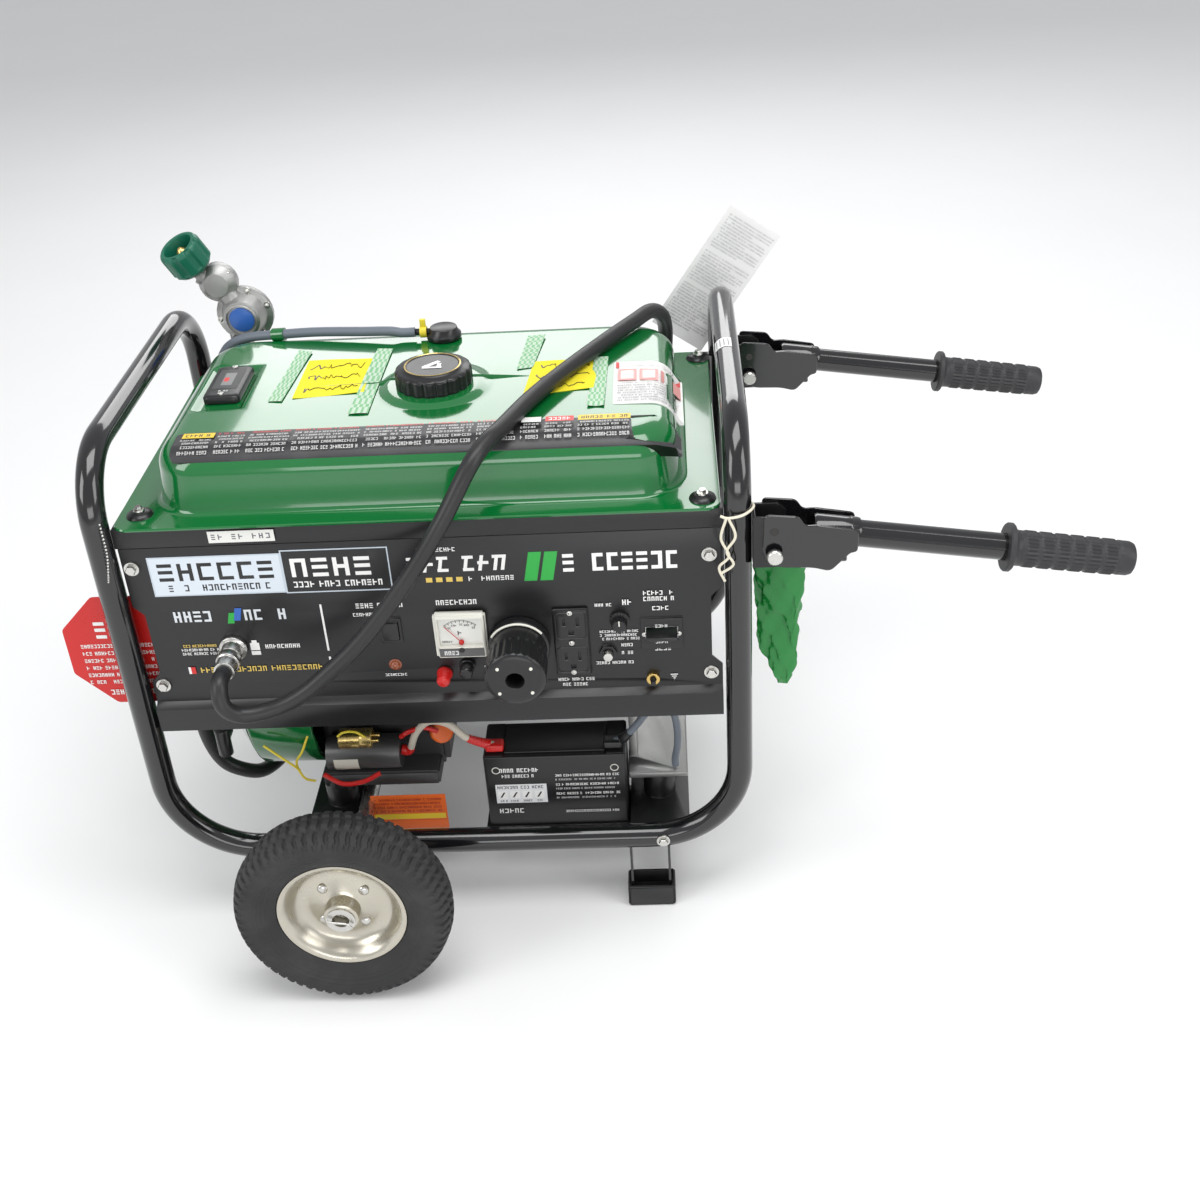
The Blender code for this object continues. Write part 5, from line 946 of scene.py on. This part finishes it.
boots = [tubed(red_path[:8], [.0052, .0056, .0058, .0058, .0056, .0052, .0048, .0042], 20), tubed(red_path[-16:-2], np.linspace(.0042, .0056, 14), 20)]
boots += [rounded_box(at(.0330, .0410, .0815), at(.0520, .0550, .0905), .0025)]
piece("red_boots", boots, RED)
black_route = [at(*p) for p in [(.1670, .0480, .0868), (.1760, .0480, .0898), (.1800, .0440, .0960), (.1930, .0400, .1150), (.2060, .0390, .1330), (.2190, .0400, .1380), (.2290, .0420, .1280), (.2330, .0450, .1050), (.2330, .0490, .0800), (.2300, .0550, .0572), (.2300, .0560, .0472)]]
black_path = smooth(black_route, .002)
piece("black_lead_skin", [tubed(black_path, .0038, 16)], GREY, ["battery_cable_black"])
boots = [tubed(black_path[4:14], np.linspace(.0056, .0042, 10), 20), rounded_box(at(.1560, .0410, .0815), at(.1750, .0550, .0905), .0025)]
piece("black_boots", boots, PLASTIC)

# ---- bottle nut, tags, film ------------------------------------------------------------
nut_run = np.array([-.36, -.30, .88])
nut_run /= np.linalg.norm(nut_run)
nut_at = at(-.2665, .3540, .5070) + nut_run * .0003
nut_profile = [(.0081, 0), (.0185, 0), (.0200, .0010), (.0220, .0035), (.0235, .0050)] + [(.0235, v) for v in np.linspace(.0065, .0260, 10)]
nut_profile += [(.0232, .0285), (.0220, .0305), (.0205, .0318), (.0190, .0320), (.0172, .0316), (.0165, .0300), (.0165, .0062), (.0082, .0060)]


def scallops(angle, height, radius):
    """Eight broad finger scallops along the nut's outside."""
    return (radius > .0215) * -0.0022 * np.clip(np.cos(angle * 8) * 1.6 - .2, 0, 1) * np.clip((height - .003) * 300, 0, 1)


piece("nut_skin", [turned(nut_profile, nut_at, nut_run, 192, scallops, close=True)], JADE, ["regulator_nut"], "bottle_nut")
nip = [(.0001, .0270), (.0022, .0270), (.0030, .0262), (.0058, .0240), (.0066, .0215), (.0066, .0120), (.0074, .0115), (.0074, .0070)]
piece("brass_nipple", [turned(nip, nut_at - nut_run * .0003 - nut_run * .0040 + nut_run * .0050, nut_run, 40)], BRASS)
turns = [(k + .5) * math.pi / 4 for k in range(8)]
tag_middle = at(-.2995, .0166, .2420)
oct_line = soft_outline([(tag_middle[0] + .0675 * math.cos(a), tag_middle[2] + .0675 * math.sin(a)) for a in turns], .003)
piece("tag_skin", [sheet_plate(oct_line, tag_middle[1] - .0006, .0012, .0002)], RED, ["red_tag"])
tag = Ink(lambda a, b, n: np.array([tag_middle[0] + a, tag_middle[1] - .0008 - n * 1.5e-6, tag_middle[2] + b]))
tag.words(-.030, .024, .0150, .0190, WHITE, 170, .75)
for row in range(6):
    tag.words(-.048, .046, .0040 - row * .0085, .0042, WHITE, 171 + row, .78)
tag.words(-.030, .030, -.0520, .0060, WHITE, 178, .78)
tag.make("tag_print")
eyelet = np.array([[tag_middle[0] + .0035 * math.cos(a), tag_middle[1], tag_middle[2] + .0540 + .0035 * math.sin(a)] for a in np.linspace(0, 2 * np.pi, 25)[:-1]])
piece("tag_eyelet", [tubed(eyelet, .0011, 8, True)], STEEL)
beads = []
chain = smooth([at(-.2995, .0150, .2990), at(-.2975, .0060, .3120), at(-.2930, -.0080, .3300), at(-.2870, -.0150, .3500), at(-.2835, -.0152, .3700), at(-.2845, -.0120, .3900), at(-.2880, -.0040, .4020)], .0034)
for spot in chain:
    beads.append(turned([(max(.0012 * math.sin(a), .0001), -.0012 * math.cos(a)) for a in np.linspace(0, math.pi, 7)], spot, (0, 0, 1), 10))
piece("tag_chain", beads, STEEL)

lean = math.radians(34.6)
foot = np.array([SIDE - .0475, .383])
up2, side2 = np.array([math.sin(lean), math.cos(lean)]), np.array([math.cos(lean), -math.sin(lean)])
sheet_y = .389 + TUBE + .0025


def on_paper(a, b, n, back=0.0):
    q = foot + side2 * a + up2 * b
    curl = .0010 * math.sin(b / .157 * math.pi) * math.cos(a / .066 * 2)
    return at(q[0], sheet_y + back + curl - n * 2e-6, q[1])


rows, cols = 40, 18
grid_a, grid_b = np.linspace(-.033, .033, cols), np.linspace(0, .157, rows)
frontal = np.array([[on_paper(a, b, 0) for a in grid_a] for b in grid_b])
behind = frontal + [0, .0003, 0]
quads = grid_faces(rows, cols, False)
edge = np.concatenate([np.arange(cols), cols * np.arange(2, rows + 1) - 1, (rows - 1) * cols + np.arange(cols - 2, -1, -1), cols * np.arange(rows - 2, 0, -1)])
wall = np.stack([edge, edge + rows * cols, np.roll(edge, -1) + rows * cols, np.roll(edge, -1)], axis=1)
paper = make("paper_skin", np.concatenate([frontal.reshape(-1, 3), behind.reshape(-1, 3)]), np.concatenate([quads, quads[:, ::-1] + rows * cols, wall]), PAPER, (),
             np.tile([.80, .80, .79, 1.0], (2 * len(quads) + len(wall), 1)))
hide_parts("paper_tag")
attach(paper, "chassis")
sheet = Ink(lambda a, b, n: on_paper(a, b, n + 90))
for block, (b0_, b1_) in enumerate(((.012, .060), (.066, .104), (.110, .150))):
    for k, b in enumerate(np.arange(b0_, b1_, .0036)):
        sheet.words(-.029, .028 if k % 4 else .008, b, .0018, (.35, .35, .36), 200 + block * 20 + k, .8)
sheet.make("paper_print", PAPER)

rows, cols = 72, 48
u, v = np.linspace(0, 2 * np.pi, cols, endpoint=False)[None, :], np.linspace(0, 1, rows)[:, None]
dice = np.random.default_rng(12)
ripple = sum(a * np.sin(fx * u + fv * 6.2 * v + p) for a, fx, fv, p in zip((.0026, .0018, .0014, .0010, .0008), (2, 3, 5, 7, 11), (1.3, -2.1, 3.4, -4.6, 6.0), dice.uniform(0, 6, 5)))
grow = np.interp(v, [0, .08, .30, .55, .85, 1], [.25, .42, .72, .92, 1.0, .80])
cx, hx = .3340 + .006 * (1 - v) ** 2, .0235 * grow
x = cx + hx * np.sign(np.cos(u)) * np.abs(np.cos(u)) ** .8 + ripple * .8
y = .0320 + .0042 * np.sin(u) * (1 - .6 * np.abs(2 * v - 1) ** 6) + ripple * .45
z = .170 + .158 * v + .004 * np.sin(u * 3 + 1) * (v < .5)
bag = np.stack([x + SHIFT + 0 * u, y + FRONT + 0 * u, z + RAIL + 0 * u], axis=-1)
piece("film_skin", [shell(bag)], FILM, ["plastic_bag"])

# ---- wires, placard, strings, small stickers -------------------------------------------
wires = [
    [(-.150, .046, .110), (-.158, .040, .092), (-.166, .038, .078), (-.160, .036, .060), (-.150, .040, .052)],
    [(-.196, .036, .104), (-.182, .032, .094), (-.170, .032, .082), (-.163, .036, .070)],
    [(-.118, .040, .110), (-.110, .036, .118), (-.098, .036, .118), (-.090, .040, .108)]]
piece("yellow_wires", [tubed(smooth([at(*p) for p in w], .002), .0013, 10) for w in wires], YELLOW)
looms = [[(-.055, .052, .098), (-.046, .046, .108), (-.030, .048, .112), (-.016, .052, .104)], [(-.140, .040, .060), (-.120, .034, .052), (-.098, .034, .054), (-.080, .040, .060)]]
piece("red_wires", [tubed(smooth([at(*p) for p in w], .002), .0026, 12) for w in looms], RED)
plates = []
for x0, x1, y0, y1, z0, z1 in ((-.094, -.014, .0335, .0350, .0000, .0340), (-.094, -.014, .0335, .0350, -.0120, -.0005)):
    plates.append(rounded_box(at(x0, y0, z0), at(x1, y1, z1), .0006, "Y"))
piece("orange_placard", plates, ORANGE)
pl = Ink(lambda a, b, n: at(a, .0333 - n * 1.5e-6, b))
pl.bar(-.092, -.016, .0020, .0090, YELL)
for row in range(4):
    pl.words(-.090, -.018, .0115 + row * .0052, .0028, (.35, .03, .02), 220 + row, .8)
pl.make("placard_print")
hang = [smooth([at(*p) for p in r], .002) for r in (
    [(.2790, -.0140, .3850), (.2860, -.0165, .3840), (.3000, -.0145, .3860), (.3095, .0000, .3870), (.3000, .0145, .3870), (.2900, .0155, .3860)],
    [(.2840, -.0165, .3840), (.2790, -.0175, .3640), (.2860, -.0170, .3450), (.2770, -.0165, .3330), (.2820, -.0165, .3180)],
    [(.2860, -.0165, .3840), (.2920, -.0180, .3660), (.2840, -.0175, .3500), (.2900, -.0170, .3360), (.2780, -.0165, .3260)])]
piece("cotton_string", [tubed(h, .0013, 8) for h in hang], STRING)
slip = Ink(lambda a, b, n: at(SIDE - (TUBE + .0003 + n * 2e-6) * math.sin(a), b, .453 + (TUBE + .0003 + n * 2e-6) * math.cos(a)))
for k in range(9):
    slip.bar(-.35 + k * .16, -.19 + k * .16, .178, .200, (.78, .78, .78))
    if k % 2:
        slip.bar(-.30 + k * .16, -.22 + k * .16, .181, .197, (.15, .15, .15))
slip.make("arch_slip")
screws = [dome(at(-.2225 + .0275 * math.cos(a), .3548, .4515 + .0275 * math.sin(a)), (0, -1, 0), .0032, .0026) for a in np.radians([20, 75, 130, 190, 250, 310])]
screws += [dome(at(-.2450 + .0175 * math.cos(a), .3518, .4890 + .0175 * math.sin(a)), (0, -1, 0), .0026, .0022) for a in np.radians([40, 130, 220, 310])]
piece("stage_screws", many(*screws), STEEL)
seat = at(-.2225, .3388, .4515)
badge = [turned([(.0001, .0008), (.0125, .0008), (.0135, .0004), (.0138, 0)], seat, (0, -1, 0), 48)]
piece("stage_badge", badge, coated("badge_blue", (.03, .12, .42), .3, dirt=.1))
hoops = [turned([(.0165, 0), (.0172, .0006), (.0172, .0034), (.0165, .0040)], at(-.2225, .3405, .4515), (0, -1, 0), 64, close=True)]
piece("stage_hoop", hoops, CAST)
bolts = many(*[dome(at(x, -.0129, z), (0, -1, 0), .0060, .0040, True) for x, z in ((-.2000, .003), (.2150, .003))])
piece("rail_bolts", bolts, STEEL)
mounts = []
for x in (-.132, .152):
    for y in (.060, .330):
        mounts.append(turned([(.0001, .0120), (.0080, .0120), (.0100, .0100), (.0120, .0060), (.0120, 0)], at(x, y, .0335), (0, 0, 1), 32))
piece("mount_caps", mounts, RUBBER)
rope = smooth([at(-.2355, .0460, .1130), at(-.2355, .0540, .1130), at(-.2330, .0640, .1150), at(-.2262, .0720, .1180), at(-.2200, .0760, .1200)], .0008)
rope_points, rope_quads, rope_caps = tubed(rope, .0022, 12)
starter_rope = make("starter_rope", rope_points, rope_quads, STRING, rope_caps)
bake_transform(starter_rope)

# ---- the back: muffler guard, air cleaner, cover vents ---------------------------------
slats = []
for k in range(7):
    z = .186 + k * .0145
    slats.append(rounded_box(at(.022, .3615, z), at(.164, .3648, z + .0060), .0014, "Y", .0028))
piece("muffler_slats", slats, SOOT)
guard = [at(a, .3630, b) for a, b in ((.014, .181), (.172, .181), (.172, .283), (.014, .283))]
piece("muffler_seam", [tubed(evened(arc_path(guard, .010, 8, True), .004, True), .0016, 10, True)], SOOT)
seam = [at(a, b, .228) for a, b in ((-.1425, .2900), (-.0235, .2900), (-.0235, .3695), (-.1425, .3695))]
piece("cleaner_seam", [tubed(evened(arc_path(seam, .008, 8, True), .004, True), .0014, 10, True)], PLASTIC)
clips = []
for x in (-.118, -.048):
    clips += [rounded_box(at(x - .006, .3680, .2120), at(x + .006, .3708, .2440), .0012, "Y", .002)]
piece("cleaner_clips", clips, STEEL)
cover_mid = at(-.2250, .1500, .1300)
# Black radial strips laid on the recoil cover are painted shade: they stand for the dark inside seen through its vent
# slots.
vent_shades = []
for k in range(28):
    a = k * 2 * np.pi / 28
    ray = np.array([0.0, math.cos(a), math.sin(a)])
    path = np.linspace(cover_mid + ray * .046 + [-.0002, 0, 0], cover_mid + ray * .078 + [-.0002, 0, 0], 8)
    vent_shades.append(tubed(path, .0022, 10, squash=.5))
piece("cover_vent_shade", vent_shades, BLACK_SHEET)
piece("cover_ring", [turned([(.0400, 0), (.0425, 0), (.0425, .0016), (.0400, .0016)], cover_mid, (-1, 0, 0), 64, close=True)], STEEL)

# ---- tank print, gauge, hose clamp, notes ----------------------------------------------


def tank_top(x, y):
    """Height of the tank's skin at a point given from the frame's middle and front, with its shoulder."""
    px, py = x + SHIFT, y + FRONT
    edge = np.minimum(np.minimum(px - BX[0], BX[1] - px), np.minimum(py - BY[0], BY[1] - py))
    e = np.clip(edge - .003, 0, .0245)
    fall = .0245 - np.sqrt(np.maximum(.0245 ** 2 - (.0245 - e) ** 2, 0))
    return CROWN - .0015 - fall - RAIL


def on_tank(a, b, layer):
    return at(a, b, float(tank_top(a, b)) + .0022 + layer * 0.0000015)


def draped(name, x0, x1, y0, y1, mat, colour, corner=.004, lift=.0012):
    """A film laid over the tank: a rounded patch that follows the skin, thick enough to have an edge."""
    sx, sy, dx, dy = perimeter(6, 24)
    hx, hy = (x1 - x0) / 2 - corner, (y1 - y0) / 2 - corner
    rings = []
    for s, t in ((1.0, 0.0), (1.0, 1.0), (.985, 1.0), (.8, 1.0), (.5, 1.0), (.2, 1.0), (.02, 1.0)):
        x = (x0 + x1) / 2 + (sx * hx + corner * dx) * s
        y = (y0 + y1) / 2 + (sy * hy + corner * dy) * s
        rings.append(np.stack([x + SHIFT, y + FRONT, tank_top(x, y) + RAIL + lift * t], axis=1))
    points, quads, caps = shell(np.array(rings))
    obj = make(name, points, quads, mat, caps, np.tile([*colour, 1.0], (len(quads) + len(caps), 1)))
    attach(obj, "chassis")
    return obj


draped("tank_band", -.222, .247, .0260, .0665, PRINT, (.025, .025, .027), .006, .0009)
band = Ink(on_tank)
x = -.215
for k, (wide, tone) in enumerate([(.034, YELL), (.030, DARK), (.042, DARK), (.066, DARK), (.058, DARK), (.046, DARK), (.040, DARK), (.022, WHITE), (.030, REDI), (.052, YELL)]):
    if tone is not DARK:
        band.bar(x, x + wide - .004, .0530, .0630, tone)
        band.words(x + .003, x + wide - .006, .0555, .0052, BLACK if tone is YELL else WHITE, 60 + k, .8)
    for row in range(4 if tone is not DARK else 6):
        tint = REDI if tone is DARK and row == 5 else (.55, .55, .54)
        band.words(x, x + wide - .004, .0300 + row * .0056, .0030, tint, 70 + k * 7 + row, .8)
    x += wide
band.make("tank_band_print")
NOTE, TAPE = (.82, .70, .02), (.50, .62, .50)


def tilted(name, corners, colour, lift, mat=PAPER, lines=None, seed=0):
    """A slip lying on the crown between four corners, slightly curled, with handwriting-like strokes."""
    c = np.asarray(corners, dtype=float)
    u, v = np.meshgrid(np.linspace(0, 1, 24), np.linspace(0, 1, 24), indexing="ij")
    p = (c[0] * ((1 - u) * (1 - v))[..., None] + c[1] * (u * (1 - v))[..., None] + c[2] * (u * v)[..., None] + c[3] * ((1 - u) * v)[..., None])
    wave = .0005 * np.sin(u * 5 + seed) * np.cos(v * 4 + seed * 2) + .0006 * (u - .5) ** 2
    z = tank_top(p[..., 0], p[..., 1]) + RAIL + lift + .0018 + wave
    top = np.stack([p[..., 0] + SHIFT, p[..., 1] + FRONT, z], axis=-1)
    low = top - [0, 0, .0003]
    n = 24
    quads = grid_faces(n, n, False)
    edge = np.concatenate([np.arange(n) * n, (n - 1) * n + np.arange(1, n), (n - 1 - np.arange(1, n)) * n + n - 1, (n - 1 - np.arange(1, n - 1))])
    nxt = np.roll(edge, -1)
    wall = np.stack([edge, nxt, nxt + n * n, edge + n * n], axis=1)
    points = np.concatenate([top.reshape(-1, 3), low.reshape(-1, 3)])
    faces = np.concatenate([quads, quads[:, ::-1] + n * n, wall[:, ::-1]])
    shade = np.tile([*colour, 1.0], (len(faces), 1))
    uc = (quads // n).mean(axis=1) / n, (quads % n).mean(axis=1) / n
    if lines is None:
        lattice = (np.floor(uc[0] * 7) + np.floor(uc[1] * 15)) % 2
        shade[:len(quads), :3] = np.where(lattice[:, None] > 0, colour, np.asarray(colour) * [.45, .75, .50])
    obj = make(name, points, faces, mat, (), shade)
    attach(obj, "chassis")
    if lines:
        dice = np.random.default_rng(seed)
        strokes = []
        for row in range(lines):
            t = np.linspace(.10, .88, 90)
            wig = np.interp(t, np.linspace(.1, .88, 22), dice.uniform(-1, 1, 22))
            side = np.interp(t, np.linspace(.1, .88, 22), dice.uniform(-1, 1, 22))
            v0 = .80 - row * .60 / max(lines - 1, 1)
            uu, vv = np.clip(t + side * .035, .05, .95), np.clip(v0 + wig * .085, .05, .95)
            q = (c[0] * ((1 - uu) * (1 - vv))[..., None] + c[1] * (uu * (1 - vv))[..., None] + c[2] * (uu * vv)[..., None] + c[3] * ((1 - uu) * vv)[..., None])
            wv = .0005 * np.sin(uu * 5 + seed) * np.cos(vv * 4 + seed * 2) + .0006 * (uu - .5) ** 2
            zz = tank_top(q[:, 0], q[:, 1]) + RAIL + lift + .0019 + wv
            strokes.append(tubed(np.stack([q[:, 0] + SHIFT, q[:, 1] + FRONT, zz], axis=1), .0007, 6, squash=.3))
        piece(name + "_pen", strokes, PLASTIC)
    return obj


tilted("note_left", [(-.127, .132), (-.058, .140), (-.062, .222), (-.127, .222)], NOTE, .0002, lines=3, seed=3)
tilted("note_right", [(.098, .118), (.165, .128), (.170, .196), (.104, .196)], NOTE, .0002, lines=3, seed=9)
tilted("tape_left", [(-.150, .128), (-.136, .126), (-.128, .246), (-.142, .248)], TAPE, .0006, seed=1)
tilted("tape_mid", [(-.066, .092), (-.047, .092), (-.044, .243), (-.060, .245)], TAPE, .0006, seed=2)
tilted("tape_middle_right", [(.088, .178), (.104, .182), (.112, .262), (.094, .262)], TAPE, .0006, seed=4)
tilted("tape_right", [(.160, .088), (.176, .088), (.178, .200), (.164, .200)], TAPE, .0006, seed=5)
draped("side_label", .184, .250, .092, .188, PRINT, (.74, .74, .72), .002, .0010)
lab = Ink(on_tank)
lab.bar(.186, .248, .172, .186, REDI)
lab.words(.190, .246, .1755, .0065, WHITE, 90, .8)
for k in range(3):
    lab.bar(.188 + k * .021, .206 + k * .021, .142, .168, (.72, .30, .28))
    lab.bar(.191 + k * .021, .203 + k * .021, .146, .164, WHITE)
for row in range(8):
    lab.words(.188, .246, .0960 + row * .0052, .0026, (.15, .15, .16), 91 + row, .75)
lab.make("side_label_print")
gx = -.199
body_levels = []
for inset, z in ((0, .4455), (0, .4505), (.0008, .4520), (.0024, .4530), (.0050, .4532)):
    body_levels.append((gx - .018 + inset + SHIFT, gx + .018 - inset + SHIFT, .1375 + inset + FRONT, .2125 - inset + FRONT, .006, z + RAIL))
piece("gauge_skin", [shell(stacked(body_levels, 8, 6))], PLASTIC, ["fuel_gauge"])
gauge = Ink(lambda a, b, n: at(a, b, .4534 + n * 2e-6))
gauge.bar(gx - .0125, gx + .0125, .1560, .2010, (.035, .035, .037))
gauge.bar(gx - .0055, gx + .0055, .1640, .1930, (.20, .20, .20))
gauge.bar(gx - .0045, gx + .0005, .1730, .1820, REDI)
gauge.words(gx - .0040, gx + .0060, .1490, .0030, WHITE, 110, .8)
gauge.make("gauge_print")
for y in (.1435, .2065):
    piece("gauge_screw_%d" % int(y * 1e4), dome(at(gx, y, .4531), (0, 0, 1), .0024, .0012), STEEL)
clamp_at = at(-.0150, .2700, .4568)
clamp = [turned([(.0048, -.0035), (.0060, -.0035), (.0060, .0035), (.0048, .0035)], clamp_at, (-1, 0, 0), 32, close=True)]
clamp += [rounded_box(clamp_at + [-.003, -.0018, .0055], clamp_at + [.003, .0018, .0140], .0007)]
piece("hose_clamp", clamp, YELLOW)
num = Ink(lambda a, b, n: np.array([cap_at[0] + a, cap_at[1] + b, cap_at[2] + .0202 + n * 2e-6]))
num.patch([(-.0100, -.0040), (-.0060, -.0075), (.0075, .0060), (.0040, .0095)], WHITE)
num.bar(-.0095, .0095, -.0085, -.0050, WHITE)
num.bar(.0045, .0085, -.0050, .0030, WHITE)
num.make("cap_mark", None, "cap")

# ---- floor, light, world ---------------------------------------------------------------
floor_mat = Mat("floor_pale", 0.75)
floor_mat.set("Base Color", floor_mat.mix(floor_mat.noise(3.0, 6.0), rgb(.83, .83, .83), rgb(.87, .87, .87)))
floor = make("floor", [(-6, -6, -.0002), (6, -6, -.0002), (6, 6, -.0002), (-6, 6, -.0002)], np.array([[0, 1, 2, 3]]), floor_mat)


def lamp(name, spot, aim, size, power, tint=(1, 1, 1)):
    data = bpy.data.lights.new(name, "AREA")
    data.shape = "RECTANGLE"
    data.size, data.size_y = size
    data.energy = power
    data.color = tint
    obj = bpy.data.objects.new(name, data)
    bpy.context.scene.collection.objects.link(obj)
    obj.location = spot
    obj.rotation_euler = (Vector(aim) - Vector(spot)).to_track_quat("-Z", "Y").to_euler()


lamp("key", (0.3, -0.6, 2.8), (0, 0, 0.3), (2.2, 1.2), 42)
lamp("left", (-2.4, -1.6, 1.8), (0, 0, 0.3), (1.2, 1.6), 26)
lamp("right", (2.4, -1.4, 1.6), (0, 0, 0.3), (1.2, 1.6), 22)
lamp("back", (0.0, 2.6, 1.9), (0, 0, 0.3), (2.4, 1.0), 24)
lamp("front_low", (0.1, -2.6, 0.7), (0, 0, 0.25), (2.0, 0.6), 12)
world = bpy.data.worlds.new("studio")
world.use_nodes = True
world.node_tree.nodes["Background"].inputs["Color"].default_value = rgb(.92, .93, .95)
world.node_tree.nodes["Background"].inputs["Strength"].default_value = 0.62
bpy.context.scene.world = world
bpy.context.scene.view_settings.view_transform = "Standard"
